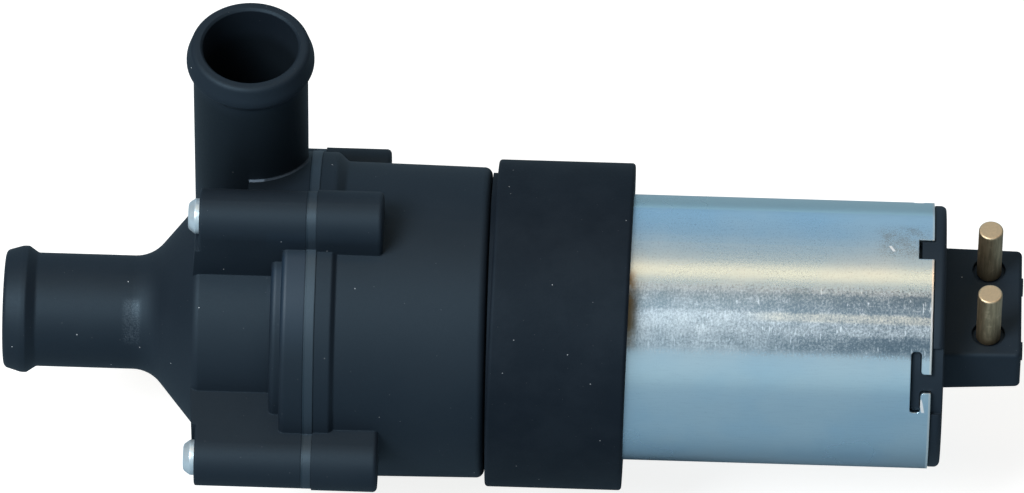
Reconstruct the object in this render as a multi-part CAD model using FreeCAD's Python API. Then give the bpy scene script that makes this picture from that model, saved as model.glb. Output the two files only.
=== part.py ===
import FreeCAD
import Part
import math
import os

# Auxiliary coolant pump for a car heater circuit, in millimetres.
# X runs along the shaft, from the inlet spigot (-X) to the electrical connector (+X).
# Z points up, the way the outlet spigot and the contact pins point.
# The origin is the centre of the rubber mounting ring, on the shaft's axis.
# Angles named clock angles turn from +Z towards +Y, as seen from the connector end.

V = FreeCAD.Vector

# Hose spigots, the same on the inlet and the outlet
spigot_r = 10.0
spigot_wall = 1.65
bead_height = 1.15
bead_lead_in = 3.0
bead_land = 1.0
bead_back = 1.7
bead_foot_round = 0.8
bead_back_round = 0.6
bead_crest_round = 2.4
mouth_lip = 0.25
mouth_round = 1.0
mouth_bevel = 0.4
inlet_length = 34.8
outlet_reach = 52.6
outlet_offset = 16.9
outlet_to_joint = 10.65

# Volute cover
cover_length = 18.7
volute_r = 20.2
volute_wall = 2.2
flare_angle = 50.2
flare_round = 6.4
flare_lead = 0.6
inner_flare_round = 3.0
inner_shoulder_round = 1.2
shoulder_round = 1.8
front_wall = 2.5
step_ring_inset = 3.75
step_ring_length = 6.1
flange_land = 1.95
flange_length = 4.2
saddle_height = 0.85
seam_over_saddle = 0.2
edge_round = 1.0
scroll_growth = 4.4
scroll_setback = 0.6

# Screw bosses that hold cover, separating can and housing together
boss_count = 4
boss_offset = 1.95
boss_r = 4.9
boss_first_angle = -6.0
boss_front_round = 0.4
boss_back_round = 0.8
web_foot_height = 1.3
web_end_height = 0.75
web_to_head = 0.6
rear_boss_extra = 0.25
screw_r = 1.5
screw_hole_gap = 0.2
screw_head_r = 3.1
screw_head_height = 2.0
screw_crown_r = 2.25
screw_crown_round = 0.9
screw_edge_height = 1.2
screw_edge_round = 0.5
screw_end_wall = 2.6
screw_tip_round = 0.6
recess_core_r = 1.05
recess_lobe_r = 0.38
recess_lobe_circle_r = 1.15
recess_depth = 1.2

# Separating can, between the wet and the dry side
can_flange_thickness = 1.8
can_flange_lip = 0.15
cup_wall = 1.2
cup_floor = 2.0
plug_length = 5.7
plug_plate = 2.0
plug_gap = 0.2
plug_to_groove = 2.0
axle_boss_r = 3.6
axle_boss_height = 1.0
axle_end_wall = 0.6

# Seals
o_ring_cord_r = 1.0
o_ring_squeeze = 0.2
motor_seal_cord_r = 0.7
motor_seal_from_end = 3.6

# Pump housing
housing_length = 29.8
housing_front_step = 0.65
skirt_wall = 3.85
rear_boss_length = 11.5
rear_flange_length = 2.8
rear_flange_slope = 1.7
rear_flange_round = 1.2
rear_flange_sweep = 2.5
rear_flange_sweep_round = 1.0
partition_thickness = 2.0
motor_seat_depth = 7.3
motor_gap = 0.1
housing_end_round = 1.4

# Impeller and its axle
axle_r = 1.5
bush_wall = 1.7
hub_wall = 1.8
volute_gap = 2.5
shroud_thickness = 1.6
blade_count = 6
blade_thickness = 1.4
blade_sweep_r = 12.0
water_gap = 0.8
blade_gap = 1.1
running_gap = 0.05
retainer_thickness = 0.6
washer_thickness = 0.4
nose_length = 8.5
magnet_setback = 1.0
impeller_magnet_gap = 0.6
impeller_magnet_length = 13.0

# Drive cup on the motor shaft
drive_magnet_outer_r = 18.2
drive_magnet_thickness = 3.8
drive_magnet_gap = 0.6
drive_front_gap = 2.5
drive_side_gap = 0.8
drive_chamber_gap = 1.6
drive_hub_gap = 0.3
drive_cup_wall = 1.2
drive_cup_floor = 1.5
drive_hub_r = 5.0
drive_hub_length = 3.5
cup_air_gap = 1.7
drive_magnet_setback = 4.2
drive_cup_lip = 0.5
drive_cup_round = 1.2
shaft_to_can = 0.9

# Motor
ring_width = 24.0
ring_wall = 5.45
ring_edge = 0.6
ring_gap = 0.2
ring_sleeve_wall = 3.05
ring_lean = 0.95
ring_lean_angle = 50.0
motor_r = 23.35
motor_wall = 1.6
motor_exposed = 53.6
motor_front_round = 1.4
motor_inner_round = 0.8
shaft_r = 2.5
shaft_round = 0.4
shaft_hole_gap = 0.6
shaft_to_cap = 0.7
bearing_boss_wall = 1.8
bearing_boss_height = 3.5
bearing_ball_r = 5.0
bearing_half_length = 2.9
bearing_from_rim = 3.4
thrust_washer_r = 4.4
thrust_washer_thickness = 0.5
rear_washer_length = 1.15
clip_thickness = 0.6
clip_width = 2.6
motor_screw_circle_r = 14.0
motor_screw_r = 1.7
motor_screw_head_r = 3.4
motor_screw_head_height = 2.0
motor_screw_length = 6.0
field_magnet_thickness = 7.35
field_magnet_front_overhang = 7.5
field_magnet_back_overhang = 4.5
field_magnet_angle = 130.0
magnet_spring_thickness = 0.8
magnet_spring_inset = 0.9
magnet_spring_setback = 2.0
armature_gap = 0.9
core_start = 19.5
tooth_count = 8
tooth_neck = 3.4
tooth_tip = 1.6
slot_mouth = 2.0
slot_depth = 5.4
end_turn_length = 7.0
end_turn_step = 1.3
winding_gap = 2.0
end_turn_round = 3.0
slot_lining = 0.1
commutator_r = 7.0
commutator_length = 10.4
commutator_core_r = 5.0
riser_r = 8.3
riser_length = 1.6
segment_round = 0.3
commutator_core_lip = 0.4
segment_gap = 0.5

# Brush gear
brush_x_size = 5.0
brush_y_size = 4.0
brush_length = 8.0
brush_gap = 0.1
brush_offset = 0.8
holder_wall = 0.6
holder_bottom_gap = 1.3
spring_coil_r = 1.45
spring_wire_r = 0.25
spring_turns = 4
holder_end_gap = 0.95
brush_plate_thickness = 2.0
brush_plate_hole_r = 8.8
brush_plate_slot = 3.0
brush_plate_slot_depth = 2.0
choke_core_r = 1.7
choke_coil_r = 2.2
choke_length = 12.0
choke_coil_length = 9.0
choke_y = 13.5

# End cap, its locking tabs and the connector
rim_thickness = 2.15
rim_step = 0.35
rim_back_round = 1.0
rim_front_round = 0.3
cap_plug_wall = 1.9
cap_root = 1.0
tab_gap = 0.15
tee_bar_length = 11.1
tee_bar_width = 1.55
tee_stem_width = 3.2
tee_land = 1.9
tee_round = 0.6
tee_relief = 0.5
tee_count = 3
tee_first_angle = -61.5
lug_width = 4.1
lug_depth = 2.7
lug_end_gap = 0.6
block_length = 13.55
block_width = 24.4
block_draft = 0.3
block_slope = 0.8
block_top = 9.66
block_thickness = 8.9
block_round = 1.0
block_top_round = 0.7
pin_r = 2.15
pin_root_r = 1.9
pin_shoulder_gap = 0.4
pin_top = 20.5
pin_spacing = 14.66
pin_from_rim = 7.75
pin_round = 0.35
well_r = 2.9
well_depth = 0.9
tail_width = 2.4
tail_thickness = 1.4
tail_depth = 3.6
nub_r = 1.6
nub_height = 0.3

# How far a cutting shape runs past the face that it cuts
past = 1.0

# Radii worked out from the sizes above, from the shaft outwards
bore_r = spigot_r - spigot_wall
chamber_r = volute_r - volute_wall
impeller_r = chamber_r - volute_gap
hub_bore_r = axle_r + running_gap + bush_wall
hub_r = hub_bore_r + hub_wall
drive_magnet_inner_r = drive_magnet_outer_r - drive_magnet_thickness
drive_cup_r = drive_magnet_outer_r + drive_cup_wall
cup_r = drive_magnet_inner_r - drive_magnet_gap
cup_bore_r = cup_r - cup_wall
impeller_magnet_r = cup_bore_r - impeller_magnet_gap
housing_chamber_r = drive_cup_r + drive_chamber_gap
plug_r = drive_cup_r + drive_side_gap + plug_plate + plug_gap
o_ring_mean_r = plug_r + plug_to_groove + o_ring_cord_r
flange_r = o_ring_mean_r + o_ring_cord_r + flange_land
saddle_r = flange_r + saddle_height
step_ring_r = flange_r - step_ring_inset
boss_circle_r = flange_r + boss_offset
housing_front_r = flange_r - housing_front_step
housing_back_r = motor_r + motor_gap + skirt_wall
ring_r = motor_r + ring_wall
ring_sleeve_r = motor_r + ring_sleeve_wall
rim_r = motor_r - rim_step
motor_bore_r = motor_r - motor_wall
field_magnet_inner_r = motor_bore_r - field_magnet_thickness
core_r = field_magnet_inner_r - armature_gap
yoke_r = core_r - tooth_tip - slot_depth
end_turn_r = core_r - end_turn_step
bearing_boss_r = bearing_ball_r + bearing_boss_wall
brush_top_z = commutator_r + brush_length
holder_top_z = motor_bore_r - holder_end_gap - holder_wall
spring_length = holder_top_z - brush_top_z

# Stations along the shaft, worked out from the sizes above
housing_back_x = -ring_width / 2 - ring_gap
housing_front_x = housing_back_x - housing_length
joint_x = housing_front_x - can_flange_thickness
cover_front_x = joint_x - cover_length
mouth_x = cover_front_x - inlet_length
step_ring_x = joint_x - step_ring_length
flange_front_x = joint_x - flange_length
outlet_x = joint_x - outlet_to_joint
plug_front_x = joint_x - plug_length
motor_front_x = housing_back_x - motor_seat_depth
partition_front_x = motor_front_x - partition_thickness
bearing_boss_x = motor_front_x - bearing_boss_height
front_bearing_x = bearing_boss_x + motor_wall / 2 + bearing_half_length
drive_floor_x = bearing_boss_x - drive_hub_gap - drive_hub_length
can_cup_outer_x = drive_floor_x - cup_air_gap
can_cup_inner_x = can_cup_outer_x - cup_floor
drive_magnet_x = plug_front_x + plug_plate + drive_front_gap
drive_magnet_end_x = drive_floor_x - drive_magnet_setback
motor_back_x = ring_width / 2 + motor_exposed
cap_back_x = motor_back_x + rim_thickness
block_back_x = cap_back_x + block_length
pin_x = cap_back_x + pin_from_rim
screw_length = cover_length + can_flange_thickness + rear_boss_length - screw_end_wall
rear_bearing_x = motor_back_x - bearing_from_rim
clip_front_x = rear_bearing_x - bearing_half_length - clip_thickness / 2
rear_washer_x = clip_front_x - running_gap - rear_washer_length
commutator_end_x = rear_washer_x - commutator_core_lip
commutator_x = commutator_end_x - commutator_length
brush_x = commutator_x + commutator_length / 2 + brush_offset
holder_back_x = brush_x + brush_x_size / 2 + brush_gap + holder_wall
brush_plate_back_x = holder_back_x + brush_plate_thickness
core_x = motor_front_x + core_start
core_end_x = commutator_x - winding_gap - end_turn_length
field_magnet_x = core_x - field_magnet_front_overhang
field_magnet_end_x = core_end_x + field_magnet_back_overhang
tail_z = block_top - tail_depth
pin_shoulder_z = block_top - well_depth + pin_shoulder_gap


# Shared ways of making a shape
def rounded_wire(corners, place):
    """A closed outline through corners (a, b, radius), each corner rounded by its radius.

    place turns a point (a, b) of the outline into a point in space.
    """
    count = len(corners)
    starts = []
    ends = []
    middles = []
    for i in range(count):
        a, b, radius = corners[i]
        here = V(a, b, 0)
        before = V(corners[i - 1][0], corners[i - 1][1], 0)
        after = V(corners[(i + 1) % count][0], corners[(i + 1) % count][1], 0)
        if radius == 0:
            starts.append(here)
            ends.append(here)
            middles.append(None)
            continue
        back = (before - here).normalize()
        ahead = (after - here).normalize()
        half = back.getAngle(ahead) / 2
        reach = radius / math.tan(half)
        bisector = (back + ahead).normalize()
        starts.append(here + back * reach)
        ends.append(here + ahead * reach)
        middles.append(here + bisector * (radius / math.sin(half) - radius))
    edges = []
    for i in range(count):
        if middles[i] is not None:
            arc = Part.Arc(place(starts[i]), place(middles[i]), place(ends[i]))
            edges.append(arc.toShape())
        following = starts[(i + 1) % count]
        if (following - ends[i]).Length > 1e-6:
            edges.append(Part.LineSegment(place(ends[i]), place(following)).toShape())
    return Part.Wire(edges)


def turned(corners):
    """A solid of revolution about the shaft's axis, from an outline of (x, radius, rounding)."""
    wire = rounded_wire(corners, lambda p: V(p.x, 0, p.y))
    return Part.Face(wire).revolve(V(0, 0, 0), V(1, 0, 0), 360)


def turned_up(corners):
    """A solid of revolution about the Z axis, from an outline of (radius, z, rounding)."""
    wire = rounded_wire(corners, lambda p: V(p.x, 0, p.y))
    return Part.Face(wire).revolve(V(0, 0, 0), V(0, 0, 1), 360)


def rod(radius, x0, x1, y=0.0, z=0.0):
    """A cylinder along X."""
    return Part.makeCylinder(radius, x1 - x0, V(x0, y, z), V(1, 0, 0))


def sleeve(outer_r, inner_r, x0, x1):
    """A tube along X on the shaft's axis."""
    return rod(outer_r, x0, x1).cut(rod(inner_r, x0 - past, x1 + past))


def block(x0, x1, y0, y1, z0, z1):
    """A box between two corners."""
    return Part.makeBox(x1 - x0, y1 - y0, z1 - z0, V(x0, y0, z0))


def clocked(shape, angle):
    """The shape turned about the shaft by a clock angle, from +Z towards +Y."""
    turned_shape = shape.copy()
    turned_shape.rotate(V(0, 0, 0), V(1, 0, 0), -angle)
    return turned_shape


def clock_point(x, radius, angle):
    """The point at a radius and clock angle."""
    a = math.radians(angle)
    return V(x, radius * math.sin(a), radius * math.cos(a))


def boss_angles():
    """Clock angles of the screw bosses."""
    return [boss_first_angle + i * 360 / boss_count for i in range(boss_count)]


def drafted_block():
    """The connector block, drafted towards its free end, with its edges rounded."""
    root_x = cap_back_x - cap_root
    root = block_width / 2 + block_draft
    tip = block_width / 2
    corners = [
        (root_x, -root, 0),
        (block_back_x, -tip, block_round),
        (block_back_x, tip, block_round),
        (root_x, root, 0),
    ]
    bottom_z = block_top - block_thickness
    wire = rounded_wire(corners, lambda p: V(p.x, p.y, bottom_z))
    solid = Part.Face(wire).extrude(V(0, 0, block_thickness))
    rounded = []
    for edge in solid.Edges:
        on_top = all(abs(v.Point.z - block_top) < 1e-6 for v in edge.Vertexes)
        at_root = all(abs(v.Point.x - root_x) < 1e-6 for v in edge.Vertexes)
        if on_top and not at_root:
            rounded.append(edge)
    solid = solid.makeFillet(block_top_round, rounded)
    wedge = [
        V(root_x, -2 * root, bottom_z),
        V(block_back_x + past, -2 * root, bottom_z + block_slope),
        V(block_back_x + past, -2 * root, bottom_z - past),
        V(root_x, -2 * root, bottom_z - past),
        V(root_x, -2 * root, bottom_z),
    ]
    return solid.cut(Part.Face(Part.makePolygon(wedge)).extrude(V(0, 4 * root, 0)))


def boss_pillar(angle, x0, x1, radius=boss_r, front_round=0.0, back_round=0.0):
    """A screw boss with a round outer end and flat sides that run in to the middle."""
    outer = boss_circle_r + radius
    corners = [
        (-radius, 0, 0),
        (radius, 0, 0),
        (radius, outer, radius * 0.999),
        (-radius, outer, radius * 0.999),
    ]
    wire = rounded_wire(corners, lambda p: V(x0, p.x, p.y))
    pillar = Part.Face(wire).extrude(V(x1 - x0, 0, 0))
    for end_x, rounding in ((x0, front_round), (x1, back_round)):
        if rounding == 0:
            continue
        rim = []
        for edge in pillar.Edges:
            at_end = all(abs(v.Point.x - end_x) < 1e-6 for v in edge.Vertexes)
            if at_end and max(v.Point.z for v in edge.Vertexes) > 1e-6:
                rim.append(edge)
        pillar = pillar.makeFillet(rounding, rim)
    return clocked(pillar, angle)


def boss_web(angle):
    """The low rib on the cover's front that runs out from the flare to one screw's head."""
    end_z = boss_circle_r - screw_head_r - web_to_head
    foot_x = cover_front_x - web_foot_height
    corners = [
        V(cover_front_x + past, -boss_r, 0),
        V(foot_x, -boss_r, 0),
        V(foot_x, -boss_r, chamber_r),
        V(cover_front_x - web_end_height, -boss_r, end_z),
        V(cover_front_x + past, -boss_r, end_z),
        V(cover_front_x + past, -boss_r, 0),
    ]
    rib = Part.Face(Part.makePolygon(corners)).extrude(V(0, 2 * boss_r, 0))
    return clocked(rib, angle)


def flange_outline(lip, x0, x1):
    """The outline that cover, can and housing share at the joint, without its bosses.

    It is a round flange that grows to the saddle's radius over the outlet.
    """
    disc = rod(flange_r + lip, x0, x1)
    saddle = rod(saddle_r + lip, x0, x1)
    return disc.fuse(saddle.common(saddle_wedge(x0, x1)))


def saddle_wedge(x0, x1):
    """The sector between the first and the second boss, over the outlet."""
    far = 2 * saddle_r
    first = clock_point(x0, far, boss_first_angle)
    middle = clock_point(x0, far, boss_first_angle + 180 / boss_count)
    last = clock_point(x0, far, boss_first_angle + 360 / boss_count)
    wire = Part.makePolygon([V(x0, 0, 0), first, middle, last, V(x0, 0, 0)])
    return Part.Face(wire).extrude(V(x1 - x0, 0, 0))


def beaded_spigot(length):
    """The outside of a hose spigot along +Z, from z = 0 to its mouth at z = length."""
    bead_r = spigot_r + bead_height
    crest = length - bead_lead_in
    back = crest - bead_land
    return turned_up(
        [
            (0, 0, 0),
            (spigot_r, 0, 0),
            (spigot_r, back - bead_back, bead_foot_round),
            (bead_r, back, bead_back_round),
            (bead_r, crest, bead_crest_round),
            (spigot_r + mouth_lip, length, mouth_round),
            (0, length, 0),
        ]
    )


def spigot_bore(length):
    """The water passage of a spigot along +Z, with its mouth's edge broken."""
    return turned_up(
        [
            (0, 0, 0),
            (bore_r, 0, 0),
            (bore_r, length - mouth_bevel, 0),
            (bore_r + mouth_bevel, length, 0),
            (bore_r + mouth_bevel, length + past, 0),
            (0, length + past, 0),
        ]
    )


def towards_inlet(shape):
    """Turns a spigot made along +Z so that it points along -X, with its foot at the cover's front."""
    placed = shape.copy()
    placed.rotate(V(0, 0, 0), V(0, 1, 0), -90)
    placed.translate(V(cover_front_x, 0, 0))
    return placed


def flare_x(radius):
    """Where the inlet's flare reaches a radius, on the outside."""
    shoulder_x = cover_front_x - flare_lead
    return shoulder_x - (volute_r - radius) / math.tan(math.radians(flare_angle))


def inner_flare_x(radius):
    """Where the inside of the flare reaches a radius."""
    return flare_x(radius) + front_wall / math.sin(math.radians(flare_angle))


def scroll(radius, growth, x0, x1):
    """The snail outline of the volute: a circle whose far quarter grows by growth towards the outlet."""
    big_r = radius + growth
    quarter = block(x0, x1, 0, big_r + past, growth - big_r - past, growth)
    grown = rod(big_r, x0, x1, 0, growth).common(quarter)
    return rod(radius, x0, x1).fuse(grown)


# Volute cover
def inlet_spigot():
    """The straight part of the inlet, from the flare's foot to the mouth."""
    spigot = towards_inlet(beaded_spigot(inlet_length))
    spigot = spigot.cut(towards_inlet(spigot_bore(inlet_length)))
    far = 2 * spigot_r
    return spigot.common(block(mouth_x - past, inlet_seam_x(), -far, far, -far, far))


def outlet_spigot():
    """The part of the outlet that stands clear above the saddle, up to its mouth."""
    spigot = beaded_spigot(outlet_reach).cut(spigot_bore(outlet_reach))
    spigot.translate(V(outlet_x, outlet_offset, 0))
    return spigot.common(above_outlet_seam())


def inlet_seam_x():
    """Where the inlet's straight part meets the flare's foot."""
    return flare_x(spigot_r) - flare_round


def above_outlet_seam():
    """The space over the level at which the outlet comes clear of the saddle."""
    seam_z = math.sqrt(saddle_r**2 - (outlet_offset - spigot_r) ** 2) + seam_over_saddle
    far = 2 * spigot_r
    return block(
        outlet_x - far, outlet_x + far, outlet_offset - far, outlet_offset + far,
        seam_z, outlet_reach + past,
    )


def volute_cover():
    """The front casing: flare, volute, saddle and flange, with the feet of both spigots."""
    flare = turned(
        [
            (inlet_seam_x(), 0, 0),
            (inlet_seam_x(), spigot_r, 0),
            (flare_x(spigot_r), spigot_r, flare_round),
            (flare_x(volute_r), volute_r, shoulder_round),
            (joint_x, volute_r, 0),
            (joint_x, 0, 0),
        ]
    )
    step_ring = turned(
        [
            (step_ring_x, 0, 0),
            (step_ring_x, step_ring_r, edge_round),
            (joint_x, step_ring_r, 0),
            (joint_x, 0, 0),
        ]
    )
    flange_ring = turned(
        [
            (flange_front_x, 0, 0),
            (flange_front_x, flange_r, edge_round),
            (joint_x, flange_r, 0),
            (joint_x, 0, 0),
        ]
    )
    saddle = rod(saddle_r, outlet_x, joint_x).common(saddle_wedge(outlet_x, joint_x))
    scroll_wall = spigot_r + outlet_offset - volute_r
    snail = scroll(volute_r, scroll_wall, cover_front_x, joint_x)
    outlet = beaded_spigot(outlet_reach)
    outlet.translate(V(outlet_x, outlet_offset, 0))
    outlet_foot = Part.makeSphere(spigot_r, V(outlet_x, outlet_offset, 0))
    body = flare.fuse(
        [step_ring, flange_ring, saddle, snail, outlet.cut(above_outlet_seam()), outlet_foot]
        + [boss_pillar(a, cover_front_x, joint_x, front_round=boss_front_round) for a in boss_angles()]
        + [boss_web(a) for a in boss_angles()]
    )
    body = body.cut(cover_hollow())
    body = body.cut([screw_hole(a, cover_front_x - past, joint_x + past) for a in boss_angles()])
    return body.removeSplitter()


def cover_hollow():
    """Everything that the water fills inside the cover, and the O-ring's groove."""
    inlet_way = towards_inlet(spigot_bore(inlet_length))
    chamber = turned(
        [
            (inner_flare_x(bore_r) - inner_flare_round, 0, 0),
            (inner_flare_x(bore_r) - inner_flare_round, bore_r, 0),
            (inner_flare_x(bore_r), bore_r, inner_flare_round),
            (inner_flare_x(chamber_r), chamber_r, inner_shoulder_round),
            (joint_x + past, chamber_r, 0),
            (joint_x + past, 0, 0),
        ]
    )
    channel_x = inner_flare_x(chamber_r) + scroll_setback
    channel = scroll(chamber_r, scroll_growth, channel_x, step_ring_x)
    plug_seat = rod(plug_r, step_ring_x, joint_x + past)
    outlet_way = spigot_bore(outlet_reach)
    outlet_way.translate(V(outlet_x, outlet_offset, 0))
    outlet_end = Part.makeSphere(bore_r, V(outlet_x, outlet_offset, 0))
    groove = sleeve(
        o_ring_mean_r + o_ring_cord_r,
        o_ring_mean_r - o_ring_cord_r,
        joint_x - 2 * o_ring_cord_r + o_ring_squeeze,
        joint_x + past,
    )
    return inlet_way.fuse([chamber, channel, plug_seat, outlet_way, outlet_end, groove])


def screw_hole(angle, x0, x1, radius=screw_r + screw_hole_gap):
    """A hole for one cover screw."""
    centre = clock_point(x0, boss_circle_r, angle)
    return rod(radius, x0, x1, centre.y, centre.z)


def cover_seal():
    """The O-ring between the cover and the can's flange, squeezed flat against the flange."""
    middle = V(joint_x - o_ring_cord_r + o_ring_squeeze, 0, 0)
    ring = Part.makeTorus(o_ring_mean_r, o_ring_cord_r, middle, V(1, 0, 0))
    outside = o_ring_mean_r + 2 * o_ring_cord_r
    return ring.common(rod(outside, joint_x - 2 * o_ring_cord_r, joint_x))


def torx_recess(x, y, z, depth):
    """A six-lobed driver recess, cut along +X from x."""
    lobes = [rod(recess_core_r, x - past, x + depth, y, z)]
    for i in range(6):
        a = math.radians(60 * i)
        lobe_y = y + recess_lobe_circle_r * math.cos(a)
        lobe_z = z + recess_lobe_circle_r * math.sin(a)
        lobes.append(rod(recess_lobe_r, x - past, x + depth, lobe_y, lobe_z))
    return lobes[0].fuse(lobes[1:])


def cover_screws():
    """The round-head screws, their heads on the cover's bosses."""
    screws = []
    for angle in boss_angles():
        centre = clock_point(cover_front_x, boss_circle_r, angle)
        body = turned(
            [
                (cover_front_x - screw_head_height, 0, 0),
                (cover_front_x - screw_head_height, screw_crown_r, screw_crown_round),
                (cover_front_x - screw_head_height + screw_edge_height, screw_head_r, screw_edge_round),
                (cover_front_x, screw_head_r, 0),
                (cover_front_x, screw_r, 0),
                (cover_front_x + screw_length, screw_r, screw_tip_round),
                (cover_front_x + screw_length, 0, 0),
            ]
        )
        body.translate(V(0, centre.y, centre.z))
        head_x = cover_front_x - screw_head_height
        screws.append(body.cut(torx_recess(head_x, centre.y, centre.z, recess_depth)))
    return Part.makeCompound(screws)


# Separating can
def separating_can():
    """The thin-walled cup with its clamped flange, which keeps the coolant off the motor."""
    lip = can_flange_lip
    flange = flange_outline(lip, joint_x, housing_front_x)
    bosses = [boss_pillar(a, joint_x, housing_front_x) for a in boss_angles()]
    plug = rod(plug_r - plug_gap, plug_front_x, joint_x)
    cup = rod(cup_r, plug_front_x, can_cup_outer_x)
    body = flange.fuse(bosses + [plug, cup])
    rim_r_inside = plug_r - plug_gap - plug_plate
    hollow = sleeve(
        rim_r_inside,
        cup_r,
        plug_front_x + plug_plate,
        housing_front_x + past,
    )
    bore = rod(cup_bore_r, plug_front_x - past, can_cup_inner_x)
    axle_boss = rod(axle_boss_r, can_cup_inner_x - axle_boss_height, can_cup_outer_x)
    body = body.cut([hollow, bore]).fuse(axle_boss)
    body = body.cut([rod(axle_r, can_cup_inner_x - axle_boss_height - past, axle_end_x())])
    body = body.cut([screw_hole(a, joint_x - past, housing_front_x + past) for a in boss_angles()])
    return body.removeSplitter()


def impeller_axle():
    """The fixed steel pin that the impeller turns on, moulded into the can's floor."""
    x0 = nose_x() - retainer_thickness - running_gap
    return turned(
        [
            (x0, 0, 0),
            (x0, axle_r, axle_r / 5),
            (axle_end_x(), axle_r, 0),
            (axle_end_x(), 0, 0),
        ]
    )


def axle_end_x():
    """The blind end of the axle's hole in the can's floor."""
    return can_cup_outer_x - axle_end_wall


def nose_x():
    """The front end of the impeller's bush."""
    return shroud_x() - nose_length


def shroud_x():
    """The front face of the impeller's back shroud."""
    return plug_front_x - water_gap - shroud_thickness


def bush_end_x():
    """The back end of the impeller's bush, next to the thrust washer."""
    return can_cup_inner_x - axle_boss_height - washer_thickness - running_gap


# Impeller
def impeller():
    """Hub, back shroud and swept blades in one moulding."""
    blade_root_x = shroud_x() + shroud_thickness / 2
    envelope = turned(
        [
            (blade_root_x, 0, 0),
            (blade_root_x, impeller_r, 0),
            (inner_flare_x(impeller_r) + blade_gap, impeller_r, 0),
            (inner_flare_x(bore_r) + blade_gap, bore_r, 0),
            (nose_x(), hub_bore_r + hub_wall / 2, 0),
            (nose_x(), 0, 0),
        ]
    )
    blades = []
    for i in range(blade_count):
        outer_r = blade_sweep_r + blade_thickness / 2
        inner_r = blade_sweep_r - blade_thickness / 2
        ring = rod(outer_r, mouth_x, joint_x, 0, blade_sweep_r)
        ring = ring.cut(rod(inner_r, mouth_x - past, joint_x + past, 0, blade_sweep_r))
        side = block(mouth_x, joint_x, 0, 2 * impeller_r, -blade_thickness, 2 * impeller_r)
        blades.append(clocked(ring.common(side), i * 360 / blade_count))
    vanes = [blade.common(envelope) for blade in blades]
    shroud = turned(
        [
            (shroud_x(), 0, 0),
            (shroud_x(), impeller_r, shroud_thickness / 4),
            (shroud_x() + shroud_thickness, impeller_r, shroud_thickness / 4),
            (shroud_x() + shroud_thickness, 0, 0),
        ]
    )
    hub = rod(hub_r, nose_x(), impeller_magnet_x() + impeller_magnet_length)
    body = shroud.fuse([hub] + vanes)
    return body.cut(rod(hub_bore_r, mouth_x, housing_back_x)).removeSplitter()


def impeller_magnet_x():
    """The front end of the impeller's magnet."""
    return bush_end_x() - magnet_setback - impeller_magnet_length


def impeller_bush():
    """The carbon bush pressed into the impeller's hub."""
    return sleeve(hub_bore_r, axle_r + running_gap, nose_x(), bush_end_x())


def impeller_magnet():
    """The magnet ring on the impeller's hub, inside the can."""
    x0 = impeller_magnet_x()
    return sleeve(impeller_magnet_r, hub_r, x0, x0 + impeller_magnet_length)


def impeller_retainer():
    """The push-on washer at the axle's tip that keeps the impeller on."""
    x1 = nose_x() - running_gap
    return sleeve(axle_r + bush_wall, axle_r, x1 - retainer_thickness, x1)


def impeller_washer():
    """The ceramic thrust washer between the bush and the can's floor."""
    x1 = can_cup_inner_x - axle_boss_height
    return sleeve(hub_bore_r, axle_r, x1 - washer_thickness, x1)


# Pump housing
def housing_r(x):
    """The housing's tapering outer radius."""
    share = (x - housing_front_x) / housing_length
    return housing_front_r + (housing_back_r - housing_front_r) * share


def pump_housing():
    """The rear casing: joint flange and bosses, drive chamber, partition and motor seat."""
    shell = turned(
        [
            (housing_front_x, 0, 0),
            (housing_front_x, housing_front_r, 0),
            (housing_back_x, housing_back_r, housing_end_round),
            (housing_back_x, 0, 0),
        ]
    )
    wedge = saddle_wedge(housing_front_x, housing_front_x + housing_length / 2)
    flange = [flange_rim(flange_r), flange_rim(saddle_r).common(wedge)]
    bosses = [
        boss_pillar(
            a,
            housing_front_x,
            housing_front_x + rear_boss_length,
            boss_r + rear_boss_extra,
            back_round=boss_back_round,
        )
        for a in boss_angles()
    ]
    body = shell.fuse(flange + bosses)
    seat_r = motor_r + motor_gap
    hollow = [
        rod(housing_chamber_r, housing_front_x - past, partition_front_x),
        rod(bearing_boss_r + motor_gap, partition_front_x - past, motor_front_x + past),
        rod(seat_r, motor_front_x, housing_back_x + past),
    ]
    seal_x = housing_back_x - motor_seal_from_end
    groove_r = motor_r + 2 * motor_seal_cord_r
    hollow.append(rod(groove_r, seal_x - motor_seal_cord_r, seal_x + motor_seal_cord_r))
    screw_end = cover_front_x + screw_length
    hollow += [screw_hole(a, housing_front_x - past, screw_end, screw_r) for a in boss_angles()]
    for side in (-1, 1):
        y = side * motor_screw_circle_r
        hollow.append(rod(motor_screw_r, partition_front_x - past, motor_front_x + past, y, 0))
    return body.cut(hollow).removeSplitter()


def flange_rim(radius):
    """The joint flange up to a radius, its back sweeping down to and just under the housing's wall."""
    x0 = housing_front_x + rear_flange_length
    share = (radius - housing_r(x0)) / (saddle_r - housing_r(x0))
    x1 = x0 + rear_flange_slope * share
    x2 = x1 + rear_flange_sweep
    return turned(
        [
            (housing_front_x, 0, 0),
            (housing_front_x, radius, 0),
            (x0, radius, rear_flange_round * share),
            (x1, housing_r(x1), rear_flange_sweep_round * share),
            (x2, housing_r(x2) - motor_gap, 0),
            (x2, 0, 0),
        ]
    )


def motor_seal():
    """The O-ring around the motor's front end, in the housing's skirt."""
    seal_x = housing_back_x - motor_seal_from_end
    return Part.makeTorus(motor_r + motor_seal_cord_r, motor_seal_cord_r, V(seal_x, 0, 0), V(1, 0, 0))


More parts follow.
